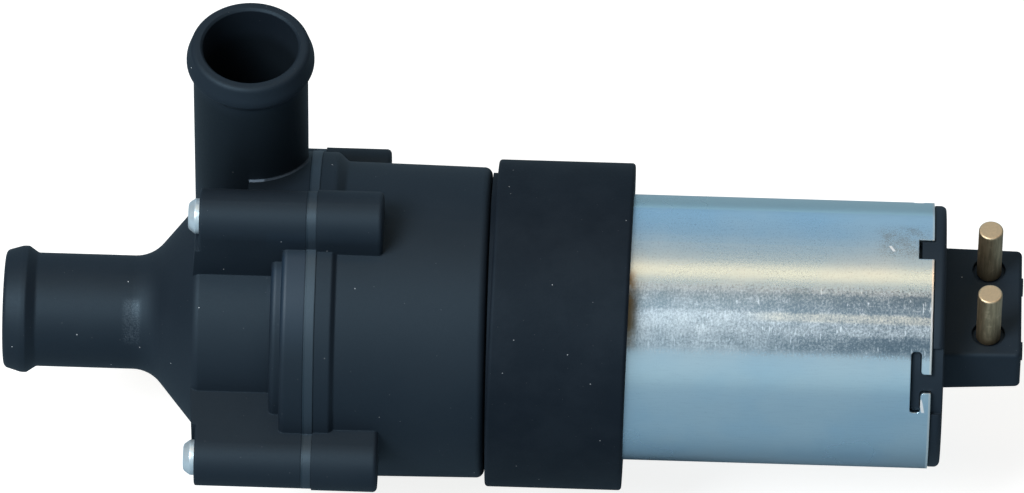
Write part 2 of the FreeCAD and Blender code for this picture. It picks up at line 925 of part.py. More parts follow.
def motor_screws():
    """The two screws through the partition into the motor's front."""
    screws = []
    for side in (-1, 1):
        y = side * motor_screw_circle_r
        head_x = partition_front_x - motor_screw_head_height
        body = turned(
            [
                (head_x, 0, 0),
                (head_x, motor_screw_head_r, motor_screw_head_r / 4),
                (partition_front_x, motor_screw_head_r, 0),
                (partition_front_x, motor_screw_r, 0),
                (partition_front_x + motor_screw_length, motor_screw_r, screw_tip_round),
                (partition_front_x + motor_screw_length, 0, 0),
            ]
        )
        body.translate(V(0, y, 0))
        screws.append(body.cut(torx_recess(head_x, y, 0, recess_depth)))
    return Part.makeCompound(screws)


# Magnetic drive on the motor's shaft
def drive_cup():
    """The steel cup that carries the driving magnets round the separating can."""
    front_x = drive_magnet_x - drive_cup_lip
    back_x = drive_floor_x + drive_cup_floor
    hub_end_x = drive_floor_x + drive_hub_length
    return turned(
        [
            (front_x, drive_magnet_outer_r, 0),
            (front_x, drive_cup_r, 0),
            (back_x, drive_cup_r, drive_cup_round),
            (back_x, drive_hub_r, 0),
            (hub_end_x, drive_hub_r, 0),
            (hub_end_x, shaft_r, 0),
            (drive_floor_x, shaft_r, 0),
            (drive_floor_x, drive_magnet_outer_r, 0),
        ]
    )


def drive_magnets():
    """The ring magnet glued into the drive cup."""
    return sleeve(
        drive_magnet_outer_r, drive_magnet_inner_r, drive_magnet_x, drive_magnet_end_x
    )


# Motor
def mounting_ring():
    """The rubber sleeve on the motor that a bracket's clamp grips."""
    far = 2 * ring_r
    tilt = math.degrees(math.asin(ring_lean / 2 / ring_r))
    slab = block(0, ring_width, -far, far, -far, far)
    slab.rotate(V(0, 0, 0), V(0, 1, 0), tilt)
    slab = clocked(slab, ring_lean_angle)
    slab.translate(V((ring_lean - ring_width) / 2, 0, 0))
    ring = rod(ring_r, -far, far).common(slab)
    ring = ring.makeFillet(ring_edge, [e for e in ring.Edges if e.Closed])
    inner = rod(ring_sleeve_r, -ring_width / 2, ring_width / 2)
    return ring.fuse(inner).cut(rod(motor_r, -far, far)).removeSplitter()


def curved_slot(x0, x1, width, angle, inner_r, outer_r):
    """A piece of the motor's wall between two radii, of a width across, at a clock angle."""
    bar = block(x0, x1, -width / 2, width / 2, past, outer_r + past)
    return clocked(bar, angle).common(sleeve(outer_r, inner_r, x0 - past, x1 + past))


def tee_angles():
    """Clock angles of the T-shaped locking tabs."""
    return [tee_first_angle + i * 360 / tee_count for i in range(tee_count)]


def tee(angle, gap, inner_r, outer_r):
    """One T-shaped tab, or with a gap, the slot that it locks into."""
    x0 = motor_back_x - tee_land - tee_bar_width - gap
    x1 = motor_back_x - tee_land + gap
    x2 = motor_back_x + past
    half_bar = tee_bar_length / 2 + gap
    half_stem = tee_stem_width / 2 + gap
    outline = [
        (x0, -half_bar, tee_round),
        (x1, -half_bar, tee_round),
        (x1, -half_stem, tee_round),
        (x2, -half_stem, 0),
        (x2, half_stem, 0),
        (x1, half_stem, tee_round),
        (x1, half_bar, tee_round),
        (x0, half_bar, tee_round),
    ]
    wire = rounded_wire(outline, lambda p: V(p.x, p.y, past))
    bar = clocked(Part.Face(wire).extrude(V(0, 0, outer_r)), angle)
    return bar.common(sleeve(outer_r, inner_r, x0 - past, x2 + past))


def lug(end_gap, side_gap, inner_r, outer_r):
    """The square locating lug at the top, or with a side gap, the notch for it."""
    x0 = motor_back_x - lug_depth + end_gap
    return curved_slot(x0, motor_back_x + past, lug_width + 2 * side_gap, 0, inner_r, outer_r)


def motor_can():
    """The drawn steel can: the motor's casing and its magnetic yoke."""
    can = turned(
        [
            (bearing_boss_x, shaft_r + shaft_hole_gap, 0),
            (bearing_boss_x, bearing_boss_r, motor_inner_round),
            (motor_front_x, bearing_boss_r, 0),
            (motor_front_x, motor_r, motor_front_round),
            (motor_back_x, motor_r, 0),
            (motor_back_x, motor_bore_r, 0),
            (motor_front_x + motor_wall, motor_bore_r, motor_inner_round),
            (motor_front_x + motor_wall, bearing_ball_r, 0),
            (bearing_boss_x + motor_wall / 2, bearing_ball_r, 0),
            (bearing_boss_x + motor_wall / 2, shaft_r + shaft_hole_gap, 0),
        ]
    )
    inner = motor_bore_r - past
    outer = motor_r + past
    cuts = [tee(a, tab_gap, inner, outer) for a in tee_angles()]
    cuts.append(lug(0, tab_gap, inner, outer))
    front_end = motor_front_x + motor_wall + past
    for side in (-1, 1):
        y = side * motor_screw_circle_r
        cuts.append(rod(motor_screw_r, motor_front_x - past, front_end, y, 0))
    return can.cut(cuts)


def field_magnets():
    """The two curved ferrite magnets, glued inside the can to either side."""
    x0 = field_magnet_x
    x1 = field_magnet_end_x
    magnets = []
    for side in (90, 270):
        ring = sleeve(motor_bore_r, field_magnet_inner_r, x0, x1)
        wedge = sector(x0, x1, field_magnet_angle)
        magnets.append(ring.common(clocked(wedge, side)))
    return Part.makeCompound(magnets)


def sector(x0, x1, angle):
    """A wedge of the given angle about +Z, long enough to trim a motor ring."""
    far = 2 * motor_r
    half = angle / 2
    first = clock_point(x0, far, -half)
    last = clock_point(x0, far, half)
    tip = clock_point(x0, far * 1.6, 0)
    wire = Part.makePolygon([V(x0, 0, 0), first, tip, last, V(x0, 0, 0)])
    return Part.Face(wire).extrude(V(x1 - x0, 0, 0))


def magnet_springs():
    """The two sprung strips that press the magnets apart against the can."""
    x0 = field_magnet_x + magnet_spring_setback
    x1 = field_magnet_end_x - magnet_spring_setback
    outer = motor_bore_r - magnet_spring_inset
    strips = []
    ring = sleeve(outer, outer - magnet_spring_thickness, x0, x1)
    for side in (0, 180):
        strips.append(ring.common(clocked(sector(x0, x1, 180 - field_magnet_angle), side)))
    return Part.makeCompound(strips)


def motor_shaft():
    """The rotor's shaft, from the drive cup to the rear bearing."""
    x0 = can_cup_outer_x + shaft_to_can
    x1 = motor_back_x - shaft_to_cap
    return turned(
        [(x0, 0, 0), (x0, shaft_r, shaft_round), (x1, shaft_r, shaft_round), (x1, 0, 0)]
    )


def armature_core():
    """The laminated core with its T-shaped teeth."""
    x0 = core_x - past
    x1 = core_end_x + past
    slots = [slot_hollow(i, x0, x1, 0.0) for i in range(tooth_count)]
    mouths = []
    for i in range(tooth_count):
        mouth = block(x0, x1, -slot_mouth / 2, slot_mouth / 2, core_r - 2 * tooth_tip, 2 * core_r)
        mouths.append(clocked(mouth, (i + 0.5) * 360 / tooth_count))
    core = rod(core_r, core_x, core_end_x)
    return core.cut(slots + mouths + [rod(shaft_r, x0, x1)]).removeSplitter()


def slot_hollow(index, x0, x1, inset):
    """The space between two teeth that the winding lies in, smaller all round by inset."""
    pitch = 360 / tooth_count
    ring = sleeve(core_r - tooth_tip - inset, yoke_r + inset, x0, x1)
    wedge = clocked(sector(x0, x1, pitch), (index + 0.5) * pitch)
    necks = []
    for edge in (index, index + 1):
        half = tooth_neck / 2 + inset
        necks.append(clocked(block(x0, x1, -half, half, 0, core_r + past), edge * pitch))
    return ring.common(wedge).cut(necks)


def armature_winding():
    """The copper winding: a bundle in each slot, joined by the end turns."""
    bundles = [slot_hollow(i, core_x, core_end_x, slot_lining) for i in range(tooth_count)]
    front = end_turns(core_x, core_x - end_turn_length)
    back = end_turns(core_end_x, core_end_x + end_turn_length)
    return front.fuse(bundles + [back]).removeSplitter()


def end_turns(foot_x, end_x):
    """The bundle of wire at one end of the core, from the core's face to its rounded end."""
    foot_r = core_r - tooth_tip - 2 * slot_lining
    return turned(
        [
            (foot_x, yoke_r, 0),
            (foot_x, foot_r, 0),
            (end_x, end_turn_r, end_turn_round),
            (end_x, yoke_r, end_turn_round / 2),
        ]
    )


def commutator_core():
    """The moulded hub that insulates the commutator's segments from the shaft."""
    x0 = commutator_x - commutator_core_lip
    return sleeve(commutator_core_r, shaft_r, x0, commutator_end_x + commutator_core_lip)


def commutator_segments():
    """The copper segments that the brushes run on."""
    ring = turned(
        [
            (commutator_x, commutator_core_r, 0),
            (commutator_x, riser_r, segment_round),
            (commutator_x + riser_length, riser_r, segment_round),
            (commutator_x + riser_length, commutator_r, 0),
            (commutator_end_x, commutator_r, segment_round),
            (commutator_end_x, commutator_core_r, 0),
        ]
    )
    pitch = 360 / tooth_count
    half = segment_gap / 2
    gaps = []
    for i in range(tooth_count):
        gap = block(commutator_x - past, commutator_end_x + past, -half, half, 0, riser_r + past)
        gaps.append(clocked(gap, (i + 0.5) * pitch))
    return ring.cut(gaps)


def bearing_bush(x):
    """A ball-shaped sintered bush that aligns itself to the shaft."""
    ball = Part.makeSphere(bearing_ball_r, V(x, 0, 0))
    half = bearing_half_length
    wide = 2 * bearing_ball_r
    body = ball.common(block(x - half, x + half, -wide, wide, -wide, wide))
    return body.cut(rod(shaft_r + running_gap, x - 2 * half, x + 2 * half))


def front_bearing():
    """The bush in the can's front boss."""
    return bearing_bush(front_bearing_x)


def rear_bearing():
    """The bush in the end cap."""
    return bearing_bush(rear_bearing_x)


def retainer_hole_r(distance):
    """The ball-shaped bush's radius at a distance from its middle."""
    return math.sqrt(bearing_ball_r**2 - distance**2)


def front_bearing_clip():
    """The spring ring that holds the front bush in its seat."""
    x0 = motor_front_x + motor_wall
    hole_r = retainer_hole_r(x0 - front_bearing_x)
    return sleeve(bearing_boss_r + clip_width, hole_r, x0, x0 + clip_thickness)


def rear_bearing_clip():
    """The spring ring that holds the rear bush in the end cap."""
    x0 = clip_front_x
    hole_r = retainer_hole_r(rear_bearing_x - x0 - clip_thickness)
    return sleeve(bearing_ball_r + clip_width, hole_r, x0, x0 + clip_thickness)


def thrust_washers():
    """The washers that take the rotor's end play, one at each bearing."""
    front_x0 = front_bearing_x + bearing_half_length + running_gap
    front = sleeve(thrust_washer_r, shaft_r, front_x0, front_x0 + thrust_washer_thickness)
    rear_x1 = rear_washer_x + rear_washer_length
    rear = sleeve(thrust_washer_r, shaft_r, rear_washer_x, rear_x1)
    return Part.makeCompound([front, rear])


# Brush gear
def brush(side):
    """One carbon brush, its face ground to the commutator."""
    half_x = brush_x_size / 2
    half_y = brush_y_size / 2
    z0 = commutator_r - past
    bar = block(brush_x - half_x, brush_x + half_x, -half_y, half_y, z0, brush_top_z)
    bar = bar.cut(rod(commutator_r + running_gap, commutator_x, commutator_end_x + past))
    return clocked(bar, 0 if side > 0 else 180)


def brush_holder(side):
    """The brass box that guides one brush and backs its spring."""
    in_x = brush_x_size / 2 + brush_gap
    in_y = brush_y_size / 2 + brush_gap
    z0 = commutator_r + holder_bottom_gap
    z1 = holder_top_z
    w = holder_wall
    outer = block(brush_x - in_x - w, brush_x + in_x + w, -in_y - w, in_y + w, z0, z1 + w)
    inner = block(brush_x - in_x, brush_x + in_x, -in_y, in_y, z0 - past, z1)
    return clocked(outer.cut(inner), 0 if side > 0 else 180)


def brush_holders():
    """Both brush holders, which sit on the brush plate."""
    return Part.makeCompound([brush_holder(1), brush_holder(-1)])


def brush_spring(side):
    """The coil spring that presses one brush on the commutator."""
    z0 = brush_top_z + spring_wire_r
    height = spring_length - 2 * spring_wire_r
    helix = Part.makeHelix(height / spring_turns, height, spring_coil_r)
    start = V(spring_coil_r, 0, 0)
    section = Part.Wire(Part.makeCircle(spring_wire_r, start, V(0, 1, 0)))
    coil = Part.Wire(helix).makePipeShell([section], True, True)
    coil.translate(V(brush_x, 0, z0))
    return clocked(coil, 0 if side > 0 else 180)


def brush_plate():
    """The insulating plate that carries the brush holders and the chokes."""
    plate_r = motor_bore_r - motor_gap
    plate = sleeve(plate_r, brush_plate_hole_r, holder_back_x, brush_plate_back_x)
    half = brush_plate_slot / 2
    slot = block(
        holder_back_x - past,
        brush_plate_back_x + past,
        -half,
        half,
        plate_r - brush_plate_slot_depth,
        plate_r + past,
    )
    return plate.cut(slot)


def choke_cores():
    """The ferrite rods of the two suppression chokes, behind the brush plate."""
    x = brush_plate_back_x + choke_coil_r
    z0 = tail_z - choke_length
    rods = [
        Part.makeCylinder(choke_core_r, choke_length, V(x, side * choke_y, z0), V(0, 0, 1))
        for side in (-1, 1)
    ]
    return Part.makeCompound(rods)


def choke_coils():
    """The copper windings of the chokes."""
    x = brush_plate_back_x + choke_coil_r
    z0 = tail_z - choke_length + (choke_length - choke_coil_length) / 2
    coils = []
    for side in (-1, 1):
        base = V(x, side * choke_y, z0)
        outer = Part.makeCylinder(choke_coil_r, choke_coil_length, base, V(0, 0, 1))
        inner = Part.makeCylinder(choke_core_r, choke_coil_length, base, V(0, 0, 1))
        coils.append(outer.cut(inner))
    return Part.makeCompound(coils)


# End cap and connector
def contact_pin(side):
    """One round contact pin, with its flat tail that leads inside to the choke."""
    y = side * pin_spacing / 2
    pin = turned_up(
        [
            (0, tail_z, 0),
            (pin_root_r, tail_z, 0),
            (pin_root_r, pin_shoulder_z, 0),
            (pin_r, pin_shoulder_z, 0),
            (pin_r, pin_top, pin_round),
            (0, pin_top, 0),
        ]
    )
    pin.translate(V(pin_x, y, 0))
    choke_x = brush_plate_back_x + choke_coil_r
    half = tail_width / 2
    tail = block(choke_x - half, pin_x, y - half, y + half, tail_z, tail_z + tail_thickness)
    reach = [y, side * (choke_y + half)]
    arm = block(
        choke_x - half, choke_x + half, min(reach), max(reach), tail_z, tail_z + tail_thickness
    )
    return pin.fuse([tail, arm]).removeSplitter()


def tee_hollow(angle):
    """The shallow hollow in the cap's rim behind a T-shaped tab."""
    width = tee_bar_length + 2 * tee_round
    x0 = motor_back_x - past
    return curved_slot(x0, cap_back_x + past, width, angle, rim_r - tee_relief, rim_r + past)


def end_cap():
    """The moulded cap: rim, plug, bearing seat, locking tabs and connector block."""
    plug_outer_r = motor_bore_r - motor_gap
    plug_inner_r = plug_outer_r - cap_plug_wall
    tab_foot_r = (plug_outer_r + plug_inner_r) / 2
    rim = turned(
        [
            (motor_back_x, 0, 0),
            (motor_back_x, rim_r, rim_front_round),
            (cap_back_x, rim_r, rim_back_round),
            (cap_back_x, 0, 0),
        ]
    )
    plug = sleeve(plug_outer_r, plug_inner_r, brush_plate_back_x, motor_back_x)
    seat_x = clip_front_x + clip_thickness
    seat = sleeve(bearing_ball_r + clip_width, bearing_ball_r, seat_x, motor_back_x)
    tabs = [tee(a, 0, tab_foot_r, rim_r - tee_relief) for a in tee_angles()]
    tabs.append(lug(lug_end_gap, 0, tab_foot_r, rim_r))
    nubs = []
    nub_z = block_top - block_thickness / 2
    for side in (-1, 1):
        y = side * pin_spacing / 2
        nubs.append(rod(nub_r, block_back_x - nub_r, block_back_x + nub_height, y, nub_z))
    body = rim.cut([tee_hollow(a) for a in tee_angles()])
    body = body.fuse([plug, seat, drafted_block()] + tabs + nubs)
    wells = []
    for side in (-1, 1):
        foot = V(pin_x, side * pin_spacing / 2, block_top - well_depth)
        wells.append(Part.makeCylinder(well_r, well_depth + past, foot, V(0, 0, 1)))
    pins = [contact_pin(-1), contact_pin(1)]
    return body.cut(wells + pins).removeSplitter()


NODES = {
    "volute_cover": volute_cover,
    "inlet_spigot": inlet_spigot,
    "outlet_spigot": outlet_spigot,
    "cover_seal": cover_seal,
    "cover_screws": cover_screws,
    "separating_can": separating_can,
    "impeller_axle": impeller_axle,
    "impeller": impeller,
    "impeller_bush": impeller_bush,
    "impeller_magnet": impeller_magnet,
    "impeller_retainer": impeller_retainer,
    "impeller_washer": impeller_washer,
    "pump_housing": pump_housing,
    "motor_seal": motor_seal,
    "motor_screws": motor_screws,
    "drive_cup": drive_cup,
    "drive_magnets": drive_magnets,
    "mounting_ring": mounting_ring,
    "motor_can": motor_can,
    "field_magnets": field_magnets,
    "magnet_springs": magnet_springs,
    "motor_shaft": motor_shaft,
    "armature_core": armature_core,
    "armature_winding": armature_winding,
    "commutator_core": commutator_core,
    "commutator_segments": commutator_segments,
    "front_bearing": front_bearing,
    "rear_bearing": rear_bearing,
    "front_bearing_clip": front_bearing_clip,
    "rear_bearing_clip": rear_bearing_clip,
    "thrust_washers": thrust_washers,
    "brush_top": lambda: brush(1),
    "brush_bottom": lambda: brush(-1),
    "brush_spring_top": lambda: brush_spring(1),
    "brush_spring_bottom": lambda: brush_spring(-1),
    "brush_holders": brush_holders,
    "brush_plate": brush_plate,
    "choke_cores": choke_cores,
    "choke_coils": choke_coils,
    "contact_pin_near": lambda: contact_pin(-1),
    "contact_pin_far": lambda: contact_pin(1),
    "end_cap": end_cap,
}

os.makedirs("parts", exist_ok=True)
for name, make in NODES.items():
    shape = make()
    print(
        name,
        "solids", len(shape.Solids),
        "valid", shape.isValid(),
        "volume", round(sum(s.Volume for s in shape.Solids), 1),
    )
    shape.exportStep("parts/" + name + ".step")
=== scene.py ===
import bpy
import math
from mathutils import Matrix, Vector
from mathutils.bvhtree import BVHTree


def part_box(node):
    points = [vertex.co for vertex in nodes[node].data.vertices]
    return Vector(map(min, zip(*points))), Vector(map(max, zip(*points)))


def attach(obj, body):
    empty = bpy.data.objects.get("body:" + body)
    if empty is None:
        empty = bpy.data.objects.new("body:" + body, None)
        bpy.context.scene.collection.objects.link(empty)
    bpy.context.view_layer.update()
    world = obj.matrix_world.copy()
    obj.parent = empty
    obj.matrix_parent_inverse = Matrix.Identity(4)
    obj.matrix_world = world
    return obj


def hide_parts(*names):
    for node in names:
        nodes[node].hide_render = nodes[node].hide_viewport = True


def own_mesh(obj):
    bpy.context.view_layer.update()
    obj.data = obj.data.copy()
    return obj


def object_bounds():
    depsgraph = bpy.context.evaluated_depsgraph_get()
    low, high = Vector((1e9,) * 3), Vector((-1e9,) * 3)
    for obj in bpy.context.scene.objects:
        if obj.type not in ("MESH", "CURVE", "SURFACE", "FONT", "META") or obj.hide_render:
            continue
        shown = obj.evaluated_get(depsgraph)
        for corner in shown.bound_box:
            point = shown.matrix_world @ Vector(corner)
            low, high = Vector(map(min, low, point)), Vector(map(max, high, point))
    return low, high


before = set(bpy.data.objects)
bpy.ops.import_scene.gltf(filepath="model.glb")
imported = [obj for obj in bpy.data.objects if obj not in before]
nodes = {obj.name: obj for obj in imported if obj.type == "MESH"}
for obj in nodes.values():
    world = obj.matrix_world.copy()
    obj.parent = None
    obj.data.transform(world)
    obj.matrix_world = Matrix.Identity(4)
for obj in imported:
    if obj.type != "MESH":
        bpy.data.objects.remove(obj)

cad_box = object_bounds()


# Motor can: the drawn sheet-steel housing of the motor, zinc plated and passivated to a blue tint.
# It is deep drawn from one disc, and its open end is pierced for the end cap's tabs. It is held in the
# pump housing's skirt, and the rubber ring is pushed over its middle.
class Field:
    """A value that changes over a surface, taken from one output of a node, ready for sums."""

    def __init__(self, finish, socket):
        self.finish = finish
        self.socket = socket

    def math(self, operation, first, second=0.0):
        return self.finish.node("ShaderNodeMath", {"operation": operation}, {0: first, 1: second})

    def __add__(self, other):
        return self.math("ADD", self, other)

    def __radd__(self, other):
        return self.math("ADD", other, self)

    def __sub__(self, other):
        return self.math("SUBTRACT", self, other)

    def __rsub__(self, other):
        return self.math("SUBTRACT", other, self)

    def __mul__(self, other):
        return self.math("MULTIPLY", self, other)

    def __rmul__(self, other):
        return self.math("MULTIPLY", other, self)

    def root(self):
        return self.math("SQRT", self)

    def rises(self, low, high):
        """0 below low, 1 above high, and a smooth step between them."""
        return self.finish.node(
            "ShaderNodeMapRange",
            {"interpolation_type": "SMOOTHSTEP"},
            {"Value": self, "From Min": low, "From Max": high},
        )

    def within(self, low, high, soft):
        """1 between low and high, falling to 0 over soft outside them."""
        return self.rises(low - soft, low) * (1 - self.rises(high, high + soft))


class Finish:
    """The nodes of one material, or of the studio round the object."""

    def __init__(self, tree):
        self.tree = tree
        tree.nodes.clear()

    def node(self, kind, settings=None, inputs=None, output=0):
        made = self.tree.nodes.new(kind)
        for name, value in (settings or {}).items():
            if name == "stops":
                self.set_stops(made.color_ramp, value)
            else:
                setattr(made, name, value)
        for name, value in (inputs or {}).items():
            self.feed(made.inputs[name], value)
        return Field(self, made.outputs[output]) if len(made.outputs) else None

    def feed(self, socket, value):
        if isinstance(value, Field):
            self.tree.links.new(value.socket, socket)
        else:
            socket.default_value = value

    def set_stops(self, ramp, stops):
        while len(ramp.elements) < len(stops):
            ramp.elements.new(1.0)
        for element, (position, colour) in zip(ramp.elements, stops):
            element.position = position
            element.color = (*colour, 1.0)

    def place(self):
        """Where a point of the surface is, in millimetres: along the shaft, across it and up."""
        here = self.node("ShaderNodeTexCoord", output="Object")
        parts = [self.node("ShaderNodeSeparateXYZ", None, {0: here}, i) for i in range(3)]
        return [part * 1000.0 for part in parts]

    def at(self, x, y, z):
        return self.node("ShaderNodeCombineXYZ", None, {0: x, 1: y, 2: z})

    def noise(self, vector, scale, detail=2.0, roughness=0.5):
        """Cloudy noise about 0.5, scale times per millimetre."""
        return self.node(
            "ShaderNodeTexNoise",
            None,
            {"Vector": vector, "Scale": scale, "Detail": detail, "Roughness": roughness},
        )

    def specks(self, vector, scale, size):
        """Small round specks, scale cells per millimetre and size of a cell across."""
        distance = self.node("ShaderNodeTexVoronoi", None, {"Vector": vector, "Scale": scale})
        return 1 - distance.rises(size * 0.6, size)

    def blend(self, share, first, second):
        """The first colour where share is 0 and the second where it is 1."""
        settings = {"data_type": "RGBA"}
        inputs = {0: share, 6: colour_of(first), 7: colour_of(second)}
        return self.node("ShaderNodeMix", settings, inputs, 2)

    def relief(self, height, depth, normal=None):
        """The surface raised by height times depth, in millimetres."""
        inputs = {"Height": height, "Distance": depth * 0.001, "Strength": 1.0}
        if normal is not None:
            inputs["Normal"] = normal
        return self.node("ShaderNodeBump", None, inputs)

    def soft_edges(self, radius):
        """Edges broken by a small round, in millimetres."""
        return self.node("ShaderNodeBevel", {"samples": 4}, {"Radius": radius * 0.001})


def colour_of(value):
    return value if isinstance(value, Field) else (*value, 1.0)


def material(name, make, metallic=0.0, **fixed):
    """A new material. make adds what changes over its surface, and returns it by input name."""
    made = bpy.data.materials.new(name)
    made.use_nodes = True
    finish = Finish(made.node_tree)
    inputs = {"Metallic": metallic}
    inputs.update({key.replace("_", " "): value for key, value in fixed.items()})
    inputs.update(make(finish))
    surface = finish.node("ShaderNodeBsdfPrincipled", None, inputs)
    finish.node("ShaderNodeOutputMaterial", None, {"Surface": surface})
    return made


def dress(made, *names):
    """Puts a material on all the slots of these nodes."""
    for name in names:
        for slot in nodes[name].material_slots:
            slot.material = made


zinc_blue = (0.62, 0.81, 0.93)
zinc_grey = (0.70, 0.85, 0.93)
sky_reflection_blue = (0.78, 0.98, 1.00)
reflection_dark = (0.16, 0.23, 0.29)
reflection_bright = (0.88, 0.95, 1.00)
lamp_reflection_cream = (0.90, 0.84, 0.70)
zinc_shadow = (0.38, 0.50, 0.60)
shade_and_glint_brown = (0.34, 0.23, 0.10)
rust_bloom = (0.30, 0.33, 0.34)
painted_shade_black = (0.010, 0.012, 0.014)
rim_highlight_white = (0.95, 0.95, 0.92)
glint_and_scratch_white = (0.90, 0.92, 0.93)
can_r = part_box("motor_can")[1][2] * 1000
can_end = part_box("motor_can")[1][0] * 1000
ring_front_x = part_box("mounting_ring")[0][0] * 1000

# Angles are in degrees round the can from its top, and less than 0 on the near side. A slant is a place
# along the shaft that leans as the angle grows.
reflection_band_angles = (-48.0, -23.0)
reflection_band_from_x = 12.0
dark_reflection_angles = (-50.0, -43.0)
faint_dark_reflection_angles = (-31.0, -25.0)
lamp_reflection_angles = (-35.0, -33.0)
lamp_reflection_from_x = 39.0
frosted_angles = (-24.0, 14.0)
sky_reflection_angles = (22.5, 25.0)
mottled_x = (57.5, 62.5)
mottled_angles = (-2.0, 10.0)
ring_shade_x = (12.7, 14.4)
ring_shade_angles = (-45.0, -20.0)
underside_shade_angles = (84.0, 124.0)
gap_shade_x = (ring_front_x + 0.4, ring_front_x + 0.6)
rim_highlight_x = (can_end - 0.45, can_end - 0.25)
scratch_slant = (57.95, 58.35)
scratch_angles = (-1.6, 1.0)
tang_glint_slant = (58.1, 58.5)
tang_glint_angles = (-75.0, -69.5)


def speckled_reflection_band(finish, x, around, degrees, spangle):
    """Where the zinc is rubbed to a coarse grain, and its colour there: painted speckled reflection of
    dark and bright glints.
    """
    dashes = finish.noise(finish.at(x * 3.0, around * 0.5, 0.0), 1.0, 2.0, 0.6)
    strokes = finish.noise(finish.at(x * 1.7, around * 0.4, 7.0), 1.0, 1.0).rises(0.66, 0.74)
    patches = finish.noise(finish.at(x * 0.25, around * 0.35, 0.0), 1.0, 3.0, 0.6)
    backward = x.rises(reflection_band_from_x, can_end)
    # Painted dark reflection lines across the band.
    dark_reflection_lines = degrees.within(*dark_reflection_angles, 2.5) * backward + degrees.within(*faint_dark_reflection_angles, 2.5)
    # A painted cream reflection of a lamp, a thin line along the can's back half.
    lamp_reflection_line = degrees.within(*lamp_reflection_angles, 2.0) * x.within(lamp_reflection_from_x, can_end, 8.0)
    share = spangle * 0.8 + dashes * 0.2 + (patches - 0.5) * 0.30 - 0.10 * dark_reflection_lines - 0.05 * backward
    share = (share + 0.03 * lamp_reflection_line + 0.22 * strokes).rises(0.27, 0.68)
    bright = finish.blend(lamp_reflection_line * 0.7, reflection_bright, lamp_reflection_cream)
    rubbed_and_glinting = (degrees + 12 * (spangle - 0.5)).within(*reflection_band_angles, 4.0) * (0.72 + 0.28 * backward)
    return rubbed_and_glinting, finish.blend(share, reflection_dark, bright)


def zinc_plate(finish):
    x, y, z = finish.place()
    turn = finish.node("ShaderNodeMath", {"operation": "ARCTAN2"}, {0: y, 1: z})
    degrees = turn * (180 / math.pi)
    around = turn * can_r
    here = finish.at(x, y, z)
    clouds = finish.noise(here, 0.06, 3.0)
    blotches = finish.noise(here, 0.45, 4.0, 0.6)
    fine = finish.noise(here, 5.0, 2.0, 0.7)
    drawn = finish.noise(finish.at(x * 0.25, around * 3.0, 0.0), 1.0, 3.0, 0.65)
    spangle = finish.noise(finish.at(x * 2.5, around * 2.1, 0.0), 1.0, 3.0, 0.9)
    frosted = (degrees + 20 * (clouds - 0.5)).within(*frosted_angles, 10.0)
    rubbed_and_glinting, painted_reflection_colour = speckled_reflection_band(finish, x, around, degrees, spangle)
    spots = (blotches * 0.4 + fine * 0.6).rises(0.42, 0.60)
    mottled = spots * x.within(*mottled_x, 3.0) * degrees.within(*mottled_angles, 6.0)
    # A painted brown strip beside the ring: the ring's shade with a warm lamp reflection.
    ring_shade_and_glint = (1 - x.rises(*ring_shade_x)) * degrees.within(*ring_shade_angles, 7.0)
    ring_shade_and_glint = ring_shade_and_glint * (0.3 + 0.7 * blotches.rises(0.3, 0.55))
    underside_shade = (0.0 - degrees).rises(*underside_shade_angles)
    scratch = (x + 0.25 * degrees).within(*scratch_slant, 0.10) * degrees.within(*scratch_angles, 0.4)
    # A painted highlight on the bent tang beside the lower T-slot.
    burr_and_glint = (x + 0.08 * degrees).within(*tang_glint_slant, 0.15) * degrees.within(*tang_glint_angles, 1.0)
    glint_and_scratch = burr_and_glint + scratch
    shade = (fine - 0.5) * (0.35 + 0.9 * frosted) + (drawn - 0.5) * 0.45
    shade = shade + (spangle - 0.5) * frosted * 1.2
    colour = finish.blend(clouds.rises(0.35, 0.65), zinc_blue, zinc_grey)
    colour = finish.blend(shade.rises(-0.05, 0.60), colour, zinc_shadow)
    # Painted reflection of the blue surroundings on the can's far top.
    colour = finish.blend(degrees.rises(*sky_reflection_angles) * 0.8, colour, sky_reflection_blue)
    # Painted speckled reflection in the rubbed band. Its rougher grain and bump are real.
    colour = finish.blend(rubbed_and_glinting, colour, painted_reflection_colour)
    colour = finish.blend(mottled * 0.60, colour, rust_bloom)
    colour = finish.blend(ring_shade_and_glint * 0.9, colour, shade_and_glint_brown)
    # Painted shade on the can's underside.
    colour = finish.blend(underside_shade * 0.46, colour, painted_shade_black)
    # Painted shade where the can shows in the gap between the housing and the ring.
    colour = finish.blend(1 - x.rises(*gap_shade_x), colour, painted_shade_black)
    # A painted highlight along the can's open rim.
    colour = finish.blend(x.rises(*rim_highlight_x), colour, rim_highlight_white)
    height = drawn * 0.5 + (3.0 * rubbed_and_glinting + 0.8 * frosted) * spangle + 0.3 * fine
    return {
        # The base colour is white at the painted tang highlight and at the scratch.
        "Base Color": finish.blend(glint_and_scratch, colour, glint_and_scratch_white),
        "Roughness": 0.25 + 0.06 * clouds + 0.12 * rubbed_and_glinting * spangle + 0.2 * mottled,
        "Metallic": 1.0 - 0.8 * glint_and_scratch,
        "Normal": finish.relief(height, 0.008, finish.soft_edges(0.25)),
    }


dress(material("zinc_plate", zinc_plate, metallic=1.0), "motor_can")


# Field magnets and their springs: two ferrite shells with ground faces, pressed against the can's wall
# by two strips of spring steel that stand between their edges.
ferrite_dark = (0.035, 0.036, 0.040)
ferrite_worn = (0.070, 0.068, 0.066)
steel_dull = (0.40, 0.41, 0.43)
steel_bright = (0.58, 0.59, 0.60)


